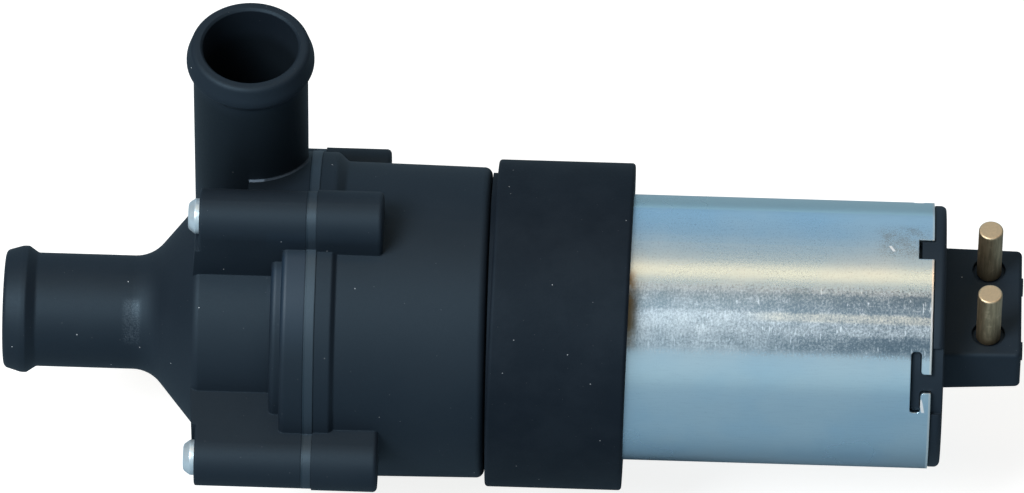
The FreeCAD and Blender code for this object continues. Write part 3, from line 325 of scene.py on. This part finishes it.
def ferrite_grain(finish):
    here = finish.at(*finish.place())
    clouds = finish.noise(here, 0.4, 3.0)
    grain = finish.noise(here, 5.0, 2.0)
    colour = finish.blend(clouds, ferrite_dark, ferrite_worn)
    return {
        "Base Color": colour,
        "Roughness": 0.45 + 0.25 * grain,
        "Normal": finish.relief(grain, 0.02, finish.soft_edges(0.2)),
    }


def steel_strip(finish):
    x, y, z = finish.place()
    brushed = finish.noise(finish.at(x * 0.3, y * 6.0, z * 6.0), 1.0, 3.0)
    clouds = finish.noise(finish.at(x, y, z), 0.3, 2.0)
    colour = finish.blend(clouds, steel_dull, steel_bright)
    return {
        "Base Color": colour,
        "Roughness": 0.25 + 0.2 * brushed,
        "Normal": finish.relief(brushed, 0.006, finish.soft_edges(0.1)),
    }


ferrite = material("ferrite", ferrite_grain)
spring_steel = material("spring_steel", steel_strip, metallic=1.0)
dress(ferrite, "field_magnets")
dress(spring_steel, "magnet_springs")


# Bearings: two round-backed bushes of sintered bronze, full of oil, each pressed into its seat by a
# toothed spring ring.
bronze_oily = (0.30, 0.19, 0.09)
bronze_dry = (0.44, 0.30, 0.15)


def oily_bronze(finish):
    here = finish.at(*finish.place())
    pores = finish.noise(here, 6.0, 3.0, 0.7)
    oil = finish.noise(here, 0.7, 2.0)
    colour = finish.blend(oil.rises(0.4, 0.6), bronze_oily, bronze_dry)
    return {
        "Base Color": colour,
        "Roughness": 0.30 + 0.3 * pores,
        "Normal": finish.relief(pores, 0.02, finish.soft_edges(0.15)),
    }


dress(material("oily_bronze", oily_bronze, metallic=1.0), "front_bearing", "rear_bearing")
dress(spring_steel, "front_bearing_clip", "rear_bearing_clip")


# Shaft: a ground steel bar that runs in the two bushes. The drive cup is pressed on its front end, and
# two nylon washers take up its end play.
bar_filmed = (0.52, 0.53, 0.54)
bar_clean = (0.66, 0.66, 0.66)
nylon_oily = (0.62, 0.60, 0.52)
nylon_clean = (0.74, 0.72, 0.66)


def ground_bar(finish):
    x, y, z = finish.place()
    rings = finish.noise(finish.at(x * 9.0, y * 0.4, z * 0.4), 1.0, 2.0)
    film = finish.noise(finish.at(x, y, z), 0.25, 2.0)
    colour = finish.blend(film, bar_filmed, bar_clean)
    return {
        "Base Color": colour,
        "Roughness": 0.16 + 0.14 * rings,
        "Normal": finish.relief(rings, 0.003, finish.soft_edges(0.15)),
    }


def smooth_nylon(finish):
    here = finish.at(*finish.place())
    clouds = finish.noise(here, 1.2, 3.0)
    colour = finish.blend(clouds, nylon_oily, nylon_clean)
    return {
        "Base Color": colour,
        "Roughness": 0.35 + 0.2 * clouds,
        "Normal": finish.relief(clouds, 0.01, finish.soft_edges(0.1)),
    }


bright_bar = material("ground_bar", ground_bar, metallic=1.0)
dress(bright_bar, "motor_shaft")
dress(material("smooth_nylon", smooth_nylon), "thrust_washers")


# Armature: a stack of punched steel sheets with eight slots, wound with enamelled copper wire that is
# dipped in resin.
sheet_thickness = 0.5
sheet_scale = (0.20, 0.19, 0.19)
sheet_bare = (0.36, 0.36, 0.37)
wire_gap_shade = (0.34, 0.10, 0.03)
wire_top_light = (0.62, 0.27, 0.10)
varnish_brown = (0.25, 0.07, 0.02)


def stacked_sheets(finish):
    x, y, z = finish.place()
    phase = x * (2 * math.pi / sheet_thickness)
    lines = finish.node("ShaderNodeMath", {"operation": "SINE"}, {0: phase})
    burr_and_glint = finish.noise(finish.at(x, y, z), 2.0, 3.0)
    colour = finish.blend(burr_and_glint, sheet_scale, sheet_bare)
    return {
        "Base Color": colour,
        "Roughness": 0.35 + 0.2 * burr_and_glint,
        "Normal": finish.relief(lines * 0.5 + burr_and_glint, 0.03),
    }


def enamelled_wire(finish):
    x, y, z = finish.place()
    strands = finish.noise(finish.at(x * 0.4, y * 3.0, z * 3.0), 1.0, 2.0, 0.3)
    varnish = finish.noise(finish.at(x, y, z), 0.5, 2.0)
    # Painted shade between the turns of wire, and lighter tops.
    colour = finish.blend(strands, wire_gap_shade, wire_top_light)
    colour = finish.blend(varnish * 0.4, colour, varnish_brown)
    return {
        "Base Color": colour,
        "Roughness": 0.25 + 0.2 * varnish,
        "Normal": finish.relief(strands, 0.15),
    }


copper_wire = material("enamelled_wire", enamelled_wire, metallic=0.9)
dress(material("stacked_sheets", stacked_sheets, metallic=1.0), "armature_core")
dress(copper_wire, "armature_winding")


# Commutator: eight turned copper segments moulded on a phenolic hub, dull and grooved where the
# brushes run.
phenolic_dark = (0.035, 0.016, 0.010)
phenolic_pale = (0.10, 0.05, 0.028)
segment_bright = (0.60, 0.27, 0.15)
segment_worn = (0.22, 0.12, 0.09)


def brown_phenolic(finish):
    here = finish.at(*finish.place())
    clouds = finish.noise(here, 1.5, 4.0, 0.6)
    colour = finish.blend(clouds, phenolic_dark, phenolic_pale)
    return {
        "Base Color": colour,
        "Roughness": 0.35 + 0.25 * clouds,
        "Normal": finish.relief(clouds, 0.02, finish.soft_edges(0.1)),
    }


def turned_copper(finish):
    x, y, z = finish.place()
    grooves = finish.noise(finish.at(x * 7.0, y * 0.3, z * 0.3), 1.0, 3.0)
    track = finish.noise(finish.at(x, y, z), 0.8, 2.0)
    colour = finish.blend(track.rises(0.4, 0.6), segment_bright, segment_worn)
    return {
        "Base Color": colour,
        "Roughness": 0.2 + 0.25 * grooves,
        "Normal": finish.relief(grooves, 0.01, finish.soft_edges(0.1)),
    }


dress(material("brown_phenolic", brown_phenolic), "commutator_core")
dress(material("turned_copper", turned_copper, metallic=1.0), "commutator_segments")


# Brush gear: two pressed carbon brushes in folded brass holders, each with a coil spring behind it, on
# a board of layered phenolic paper. In the real gear a spring gets shorter as its brush lifts; here each
# coil is a copy that is carried with its brush.
carbon_dark = (0.020, 0.020, 0.021)
carbon_grey = (0.045, 0.044, 0.044)
holder_brass = (0.66, 0.44, 0.17)
holder_tarnish = (0.44, 0.29, 0.13)
board_dark = (0.17, 0.085, 0.035)
board_pale = (0.29, 0.16, 0.075)


def pressed_carbon(finish):
    here = finish.at(*finish.place())
    grain = finish.noise(here, 7.0, 2.0)
    clouds = finish.noise(here, 1.0, 2.0)
    colour = finish.blend(clouds, carbon_dark, carbon_grey)
    return {
        "Base Color": colour,
        "Roughness": 0.4 + 0.3 * grain,
        "Normal": finish.relief(grain, 0.015, finish.soft_edges(0.15)),
    }


def folded_brass(finish):
    x, y, z = finish.place()
    rolled = finish.noise(finish.at(x * 0.5, y * 5.0, z * 0.5), 1.0, 3.0)
    tarnish = finish.noise(finish.at(x, y, z), 0.6, 3.0)
    colour = finish.blend(tarnish, holder_brass, holder_tarnish)
    return {
        "Base Color": colour,
        "Roughness": 0.25 + 0.2 * rolled,
        "Normal": finish.relief(rolled, 0.005, finish.soft_edges(0.12)),
    }


def layered_board(finish):
    x, y, z = finish.place()
    layers = finish.noise(finish.at(x * 8.0, y * 0.5, z * 0.5), 1.0, 2.0)
    clouds = finish.noise(finish.at(x, y, z), 0.6, 3.0)
    colour = finish.blend(clouds, board_dark, board_pale)
    return {
        "Base Color": colour,
        "Roughness": 0.45 + 0.2 * layers,
        "Normal": finish.relief(layers, 0.02, finish.soft_edges(0.1)),
    }


carbon = material("pressed_carbon", pressed_carbon)
dress(carbon, "brush_top", "brush_bottom")
dress(spring_steel, "brush_spring_top", "brush_spring_bottom")
dress(material("folded_brass", folded_brass, metallic=1.0), "brush_holders")
dress(material("layered_board", layered_board), "brush_plate")

for side in ("top", "bottom"):
    node = "brush_spring_" + side
    coil = bpy.data.objects.new("spring_coil_" + side, nodes[node].data.copy())
    bpy.context.scene.collection.objects.link(coil)
    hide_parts(node)
    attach(coil, side + "_brush")
    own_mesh(coil)


# Chokes: two ferrite rods, each with a coil of thick enamelled wire, that quieten the brushes' sparks.
# They hang between the brush board and the tails of the contact pins.
dress(ferrite, "choke_cores")
dress(copper_wire, "choke_coils")


# Contact pins: two turned brass rods, moulded into the end cap's block. They are bare and have aged
# to a dull brown, with brighter marks where a plug has rubbed them, and a painted highlight round their
# ends.
brass_aged = (0.60, 0.46, 0.29)
brass_dark = (0.42, 0.32, 0.20)
brass_rubbed_and_lit = (0.80, 0.64, 0.43)
block_top = 9.66
pin_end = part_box("contact_pin_near")[1][2] * 1000


def aged_brass(finish):
    x, y, z = finish.place()
    drips = finish.noise(finish.at(x * 2.2, y * 2.2, z * 0.25), 1.0, 3.0, 0.6)
    blotches = finish.noise(finish.at(x, y, z), 0.9, 3.0)
    fine = finish.noise(finish.at(x, y, z), 7.0, 2.0)
    # A painted highlight round the pin's rounded end.
    top = z.rises(pin_end - 0.30, pin_end - 0.05)
    foot = 1 - z.rises(block_top, block_top + 3.0)
    colour = finish.blend(drips.rises(0.36, 0.62), brass_dark, brass_aged)
    colour = finish.blend(blotches.rises(0.60, 0.75) * 0.5, colour, brass_rubbed_and_lit)
    colour = finish.blend(top * 0.75, colour, brass_rubbed_and_lit)
    colour = finish.blend(foot * 0.6, colour, brass_dark)
    return {
        "Base Color": colour,
        "Roughness": 0.40 + 0.16 * blotches + 0.08 * fine,
        "Normal": finish.relief(fine + drips, 0.012, finish.soft_edges(0.2)),
    }


dress(material("aged_brass", aged_brass, metallic=1.0), "contact_pin_near", "contact_pin_far")


# End cap: one black moulding of glass-filled plastic. Its plug goes into the can, its T-shaped tabs
# snap into the can's slots, and the connector block grows from its back.
black_base = (0.0062, 0.0100, 0.0165)
black_worn = (0.0100, 0.0150, 0.0225)
cap_base = (0.0092, 0.0138, 0.0215)
cap_worn = (0.0125, 0.0180, 0.0265)
dust_white = (0.60, 0.64, 0.68)
plastic_sheen = (0.58, 0.82, 1.00, 1.0)


def moulded(finish, base=black_base, worn=black_worn, rough=0.50, dust=1.0):
    """Black glass-filled plastic: fine grain, faint clouds, rubbed patches and a few specks of dust."""
    here = finish.at(*finish.place())
    clouds = finish.noise(here, 0.07, 4.0, 0.6)
    fibres = finish.noise(here, 1.1, 4.0, 0.6)
    grain = finish.noise(here, 3.4, 2.0, 0.6)
    rubbed_and_glinting = fibres.rises(0.55, 0.75)
    specks = finish.specks(here, 0.26, 0.034) + finish.specks(here, 0.50, 0.045) * 0.12
    colour = finish.blend(clouds.rises(0.35, 0.7) * 0.6, base, worn)
    colour = finish.blend(rubbed_and_glinting * 0.25, colour, worn)
    colour = finish.blend(specks * dust, colour, dust_white)
    return {
        "Base Color": colour,
        "Roughness": rough + 0.10 * clouds + 0.14 * grain,
        "Normal": finish.relief(grain + 0.4 * fibres, 0.012, finish.soft_edges(0.3)),
    }


def plastic(name, make, sheen=0.5):
    return material(name, make, Specular_IOR_Level=sheen, Specular_Tint=plastic_sheen)


def cap_moulding(finish):
    return moulded(finish, cap_base, cap_worn)


black_moulding = plastic("black_moulding", moulded)
dress(plastic("cap_moulding", cap_moulding), "end_cap")


# Mounting ring: a soft black rubber sleeve, moulded in one and pushed over the can. A clamp on the
# car's bracket grips it, and it keeps the motor's hum from the body.
rubber_base = (0.0045, 0.0072, 0.0125)
rubber_bloom = (0.0078, 0.0115, 0.0178)


def soft_rubber(finish):
    x, y, z = finish.place()
    here = finish.at(x, y, z)
    bloom = finish.noise(here, 0.12, 4.0, 0.6)
    skin = finish.noise(here, 2.4, 3.0, 0.6)
    rubs = finish.noise(finish.at(x * 0.2, y * 1.6, z * 1.6), 1.0, 3.0)
    specks = finish.specks(here, 0.28, 0.034) + finish.specks(here, 0.6, 0.05) * 0.10
    colour = finish.blend(bloom.rises(0.35, 0.7), rubber_base, rubber_bloom)
    colour = finish.blend(rubs.rises(0.6, 0.8) * 0.4, colour, rubber_bloom)
    colour = finish.blend(specks * 0.7, colour, dust_white)
    return {
        "Base Color": colour,
        "Roughness": 0.60 + 0.14 * skin,
        "Normal": finish.relief(skin, 0.020, finish.soft_edges(0.3)),
    }


rubber = plastic("soft_rubber", soft_rubber, sheen=0.28)
dress(rubber, "mounting_ring")


# Pump housing: the black moulding behind the joint. Its skirt takes the motor's front end with an
# O-ring, and two screws through its partition hold the motor. Its four bosses take the cover's screws.
screw_blue = (0.60, 0.74, 0.82)
screw_pale = (0.72, 0.83, 0.89)


def zinc_screw(finish):
    x, y, z = finish.place()
    turned_rings = finish.noise(finish.at(x, y, z), 3.0, 2.0)
    clouds = finish.noise(finish.at(x, y, z), 0.8, 2.0)
    colour = finish.blend(clouds, screw_blue, screw_pale)
    return {
        "Base Color": colour,
        "Roughness": 0.28 + 0.16 * turned_rings,
        "Normal": finish.relief(turned_rings, 0.006, finish.soft_edges(0.12)),
    }


bright_screw = material("zinc_screw", zinc_screw, metallic=0.6)
dress(black_moulding, "pump_housing")
dress(rubber, "motor_seal")
dress(bright_screw, "motor_screws")


# Drive cup: a drawn steel cup pressed on the shaft, with a ring of ferrite glued inside it that pulls
# the impeller's magnet round through the separating can.
dress(spring_steel, "drive_cup")
dress(ferrite, "drive_magnets")


# Separating can: a thin-walled moulding, a little paler and glossier than the housings because its flange
# is left as moulded. The screws clamp it between cover and housing, and it carries the impeller's axle.
can_base = (0.0135, 0.0195, 0.0280)
can_worn = (0.0190, 0.0270, 0.0380)
crevice_shade_dark = (0.0040, 0.0080, 0.0140)
joint_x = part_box("volute_cover")[1][0] * 1000
crevice_x = (joint_x - 0.30, joint_x + 0.32)


def pale_moulding(finish):
    along = finish.place()[0]
    inputs = moulded(finish, can_base, can_worn, rough=0.39, dust=0.5)
    # Painted shade in the crevice at the joint with the cover.
    crevice = along.within(*crevice_x, 0.06)
    inputs["Base Color"] = finish.blend(crevice * 0.9, inputs["Base Color"], crevice_shade_dark)
    return inputs


dress(plastic("pale_moulding", pale_moulding, sheen=0.9), "separating_can")
dress(bright_bar, "impeller_axle")


# Impeller: six swept blades on a shroud, one moulding round a carbon bush and a ferrite ring. It runs
# on the fixed axle between a ceramic washer and a push-on retainer.
ceramic_cream = (0.70, 0.69, 0.64)
ceramic_white = (0.80, 0.79, 0.75)


def lapped_ceramic(finish):
    here = finish.at(*finish.place())
    clouds = finish.noise(here, 2.0, 3.0)
    colour = finish.blend(clouds, ceramic_cream, ceramic_white)
    return {
        "Base Color": colour,
        "Roughness": 0.15 + 0.15 * clouds,
        "Normal": finish.relief(clouds, 0.004, finish.soft_edges(0.08)),
    }


dress(black_moulding, "impeller")
dress(carbon, "impeller_bush")
dress(ferrite, "impeller_magnet")
dress(spring_steel, "impeller_retainer")
dress(material("lapped_ceramic", lapped_ceramic), "impeller_washer")


# Volute cover: the wet end's front, moulded in one with the inlet and the outlet spigot. The three
# solids become one skin here, without the faces where they meet. An O-ring seals it to the separating
# can, and its edge at the joint is glossier than the rest, with a painted bluer sheen on its lit upper
# near part.
cover_parts = ("volute_cover", "inlet_spigot", "outlet_spigot")
contact_gap = 0.02
opposite = -0.999
outlet_shade_black = (0.0020, 0.0032, 0.0050)
flange_sheen_blue = (0.0050, 0.0150, 0.0310)
foot_highlight_grey = (0.16, 0.20, 0.25)
scuff_grey = (0.12, 0.15, 0.18)
outlet_low, outlet_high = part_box("outlet_spigot")
outlet_x = (outlet_low[0] + outlet_high[0]) / 2 * 1000
outlet_y = (outlet_low[1] + outlet_high[1]) / 2 * 1000

# The cover's marks: a painted highlight where the outlet leaves the saddle, painted shade on the outlet
# and the saddle at its foot, a scuff at the inlet's root, and the glossier edge at the joint with its
# painted sheen.
saddle_r = 29.2
foot_highlight_r = (saddle_r, saddle_r + 0.15)
foot_highlight_from_outlet = (9.6, 10.5)
foot_highlight_x = (outlet_x + 0.2, outlet_x + 10.0)
bright_highlight_x = (outlet_x + 0.2, outlet_x + 2.4)
far_y = (outlet_y - 2, outlet_y)
outlet_shade_foot_z = (16.0, 24.0)
outlet_shade_top_z = (44.0, 48.0)
outlet_shade_from_outlet = (11.0, 15.0)
scuff_x = (-75.4, -73.8)
scuff_y = (-9.4, -5.5)
scuff_z = (2.0, 4.0)
flange_x = (-50.9, -50.5)
flange_y = (-9.5, -7.5)
flange_z = (15.0, 24.5)


def add_mesh(name, points, faces):
    """A new mesh object from points in metres."""
    mesh = bpy.data.meshes.new(name)
    mesh.from_pydata(points, [], faces)
    made = bpy.data.objects.new(name, mesh)
    bpy.context.scene.collection.objects.link(made)
    return made


def touching(polygon, others):
    """Whether a face lies on a face of another solid that looks the other way."""
    for other in others:
        _, normal, _, gap = other.find_nearest(polygon.center)
        if gap < contact_gap * 0.001 and normal.dot(polygon.normal) < opposite:
            return True
    return False


def joined_skin(name, parts):
    """One mesh of several nodes, with their own normals, open where they touch."""
    trees = {}
    for part in parts:
        mesh = nodes[part].data
        shells = [tuple(polygon.vertices) for polygon in mesh.polygons]
        trees[part] = BVHTree.FromPolygons([v.co for v in mesh.vertices], shells)
    points, faces, normals = [], [], []
    for part in parts:
        mesh = nodes[part].data
        others = [tree for key, tree in trees.items() if key != part]
        start = len(points)
        points += [tuple(v.co) for v in mesh.vertices]
        for polygon in mesh.polygons:
            if touching(polygon, others):
                continue
            faces.append([start + v for v in polygon.vertices])
            normals += [tuple(mesh.corner_normals[i].vector) for i in polygon.loop_indices]
    made = add_mesh(name, points, faces)
    for polygon in made.data.polygons:
        polygon.use_smooth = True
    made.data.normals_split_custom_set(normals)
    return made


def cover_moulding(finish):
    x, y, z = finish.place()
    inputs = moulded(finish)
    from_shaft = (y * y + z * z).root()
    across = x - outlet_x
    sideways = y - outlet_y
    from_outlet = (across * across + sideways * sideways).root()
    # A painted highlight along the foot of the outlet, where it leaves the saddle.
    foot_highlight = from_shaft.within(*foot_highlight_r, 0.10) * from_outlet.within(*foot_highlight_from_outlet, 0.1)
    bright_end = 0.25 + 0.75 * x.within(*bright_highlight_x, 0.5)
    near_side = x.within(*foot_highlight_x, 0.5) * (1 - y.rises(*far_y))
    foot_highlight = foot_highlight * bright_end * near_side
    # Painted shade on the outlet tube and on the saddle at its foot.
    outlet_shade = z.rises(*outlet_shade_foot_z) * (1 - z.rises(*outlet_shade_top_z))
    outlet_shade = outlet_shade * (1 - from_outlet.rises(*outlet_shade_from_outlet))
    grain = finish.noise(finish.at(x, y, z), 4.2, 2.0, 0.7)
    scuffed = x.within(*scuff_x, 1.2) * y.within(*scuff_y, 1.5) * z.rises(*scuff_z)
    # A painted bluer sheen on the lit upper near part of the cover's edge. The coat there is real gloss.
    flange = x.rises(*flange_x) * z.rises(*flange_z) * (1 - y.rises(*flange_y))
    colour = finish.blend(outlet_shade * 0.8, inputs["Base Color"], outlet_shade_black)
    colour = finish.blend(flange, colour, flange_sheen_blue)
    colour = finish.blend(foot_highlight * 0.8, colour, foot_highlight_grey)
    inputs["Base Color"] = finish.blend(scuffed * grain.rises(0.40, 0.70) * 0.35, colour, scuff_grey)
    inputs["Roughness"] = inputs["Roughness"] - 0.15 * scuffed
    inputs["Coat Weight"] = flange * 0.32
    inputs["Coat Roughness"] = 0.44
    return inputs


cover_skin = joined_skin("cover_skin", cover_parts)
cover_skin.data.materials.append(plastic("cover_moulding", cover_moulding))
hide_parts(*cover_parts)
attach(cover_skin, "casing")
dress(black_moulding, *cover_parts)
dress(rubber, "cover_seal")


# Cover screws: four round-head thread-forming screws with six-lobed recesses, bright zinc plated, that
# clamp cover, separating can and housing together.
dress(bright_screw, "cover_screws")


# Floor: a wide sheet of matt white paper that the pump lies on. The camera sees it as white, and it
# keeps the soft shadow under the pump.
floor_gap = 0.016
floor_z = cad_box[0][2] * 1000 - floor_gap
floor_half = 2400.0
paper_white = (0.46, 0.46, 0.46)
paper_in_gloss = (0.272, 0.378, 0.450)
paper_glow = (0.84, 0.84, 0.83)
no_glow = (0.0, 0.0, 0.0)


def paper(finish):
    here = finish.node("ShaderNodeTexCoord", output="Object")
    fibre = finish.node("ShaderNodeTexNoise", None, {"Vector": here, "Scale": 900.0})
    in_gloss = finish.node("ShaderNodeLightPath", output="Is Glossy Ray")
    seen = finish.node("ShaderNodeLightPath", output="Is Camera Ray")
    return {
        "Base Color": finish.blend(in_gloss, paper_white, paper_in_gloss),
        "Roughness": 0.75 + 0.1 * fibre,
        "Emission Color": finish.blend(seen, no_glow, paper_glow),
    }


corners = [(-1, -1), (1, -1), (1, 1), (-1, 1)]
floor_points = [Vector((x * floor_half, y * floor_half, floor_z)) * 0.001 for x, y in corners]
floor = add_mesh("floor", floor_points, [(0, 1, 2, 3)])
floor.data.materials.append(material("floor_paper", paper, Emission_Strength=1.0))


# Studio: soft blue-white walls in front, dark ones at the sides, a long warm lamp overhead that draws
# the cream line along the can, and a wide soft lamp above the camera. The walls' colours are set by
# degrees from the level of the near side, over the top, to the level of the far side.
wall_colours = [
    (0, (0.41, 0.54, 0.60)),
    (22, (0.47, 0.59, 0.65)),
    (38, (0.34, 0.40, 0.44)),
    (52, (0.20, 0.22, 0.22)),
    (68, (0.22, 0.23, 0.23)),
    (84, (0.40, 0.42, 0.42)),
    (118, (0.47, 0.48, 0.48)),
    (128, (0.49, 0.52, 0.53)),
    (142, (0.33, 0.44, 0.53)),
    (180, (0.35, 0.52, 0.66)),
]
soft_blue = (0.14, 0.165, 0.19)
side_dark = (0.07, 0.08, 0.09)
lamp_warm = (1.0, 0.60, 0.24)
lamp_cool = (0.92, 0.97, 1.0)
background_white = (1.0, 1.0, 1.0)

studio = bpy.data.worlds.new("studio")
studio.use_nodes = True
studio.cycles.sampling_method = "NONE"
bpy.context.scene.world = studio
room = Finish(studio.node_tree)
direction = room.node("ShaderNodeTexCoord", output="Generated")
along, across, upward = [room.node("ShaderNodeSeparateXYZ", None, {0: direction}, i) for i in range(3)]
half_turns = room.node("ShaderNodeMath", {"operation": "ARCTAN2"}, {0: upward, 1: across * -1.0})
half_turns = half_turns * (1 / math.pi)
wall_stops = [(degrees / 180, colour) for degrees, colour in wall_colours]
walls = room.node("ShaderNodeValToRGB", {"stops": wall_stops}, {0: half_turns})
aside = (along * along).rises(0.10, 0.55)
walls = room.blend(aside, walls, side_dark)
seen_by_camera = room.node("ShaderNodeLightPath", output="Is Camera Ray")
seen_in_gloss = room.node("ShaderNodeLightPath", output="Is Glossy Ray")
surroundings = room.blend(seen_in_gloss, soft_blue, walls)
surroundings = room.blend(seen_by_camera, surroundings, background_white)
backdrop = room.node("ShaderNodeBackground", None, {"Color": surroundings, "Strength": 1.0})
room.node("ShaderNodeOutputWorld", None, {"Surface": backdrop})


def area_lamp(name, place, size, watts, colour):
    """A lamp as wide and deep as size, that looks at the pump."""
    data = bpy.data.lights.new(name, "AREA")
    data.shape = "RECTANGLE"
    data.size, data.size_y = size
    data.energy = watts
    data.color = colour
    lamp = bpy.data.objects.new(name, data)
    lamp.location = place
    lamp.rotation_euler = (-Vector(place)).to_track_quat("-Z", "Y").to_euler()
    lamp.visible_camera = False
    bpy.context.scene.collection.objects.link(lamp)


area_lamp("overhead_lamp", place=(0.0, 0.19, 1.0), size=(1.5, 0.20), watts=1.36, colour=lamp_warm)
area_lamp("front_lamp", place=(-0.62, -0.52, 1.00), size=(0.6, 0.6), watts=16.0, colour=lamp_cool)


# Camera: a long lens a little over two metres away, above the pump's near side, as the photograph was
# taken.
azimuth = math.radians(1.46)
elevation = math.radians(49.422)
roll = math.radians(0.5948)
distance = 2293.0
aim_right = -8.039
aim_up = 13.748
picture_width = 1024
focal_pixels = 13032.0
sensor_width = 36.0

level = Vector((math.cos(azimuth), math.sin(azimuth), 0))
nearward = Vector((math.sin(azimuth), -math.cos(azimuth), 0))
outward = nearward * math.cos(elevation) + Vector((0, 0, math.sin(elevation)))
upright = outward.cross(level)
rightward = level * math.cos(roll) + upright * math.sin(roll)
headward = upright * math.cos(roll) - level * math.sin(roll)
eye = (outward * distance + rightward * aim_right + headward * aim_up) * 0.001
camera_data = bpy.data.cameras.new("camera")
camera_data.sensor_width = sensor_width
camera_data.lens = focal_pixels * sensor_width / picture_width
camera_data.clip_start = 0.1
camera_data.clip_end = 20.0
camera = bpy.data.objects.new("camera", camera_data)
turned = Matrix((rightward, headward, outward)).transposed().to_4x4()
camera.matrix_world = Matrix.Translation(eye) @ turned
bpy.context.scene.collection.objects.link(camera)
bpy.context.scene.camera = camera

bpy.context.scene.view_settings.view_transform = "Standard"
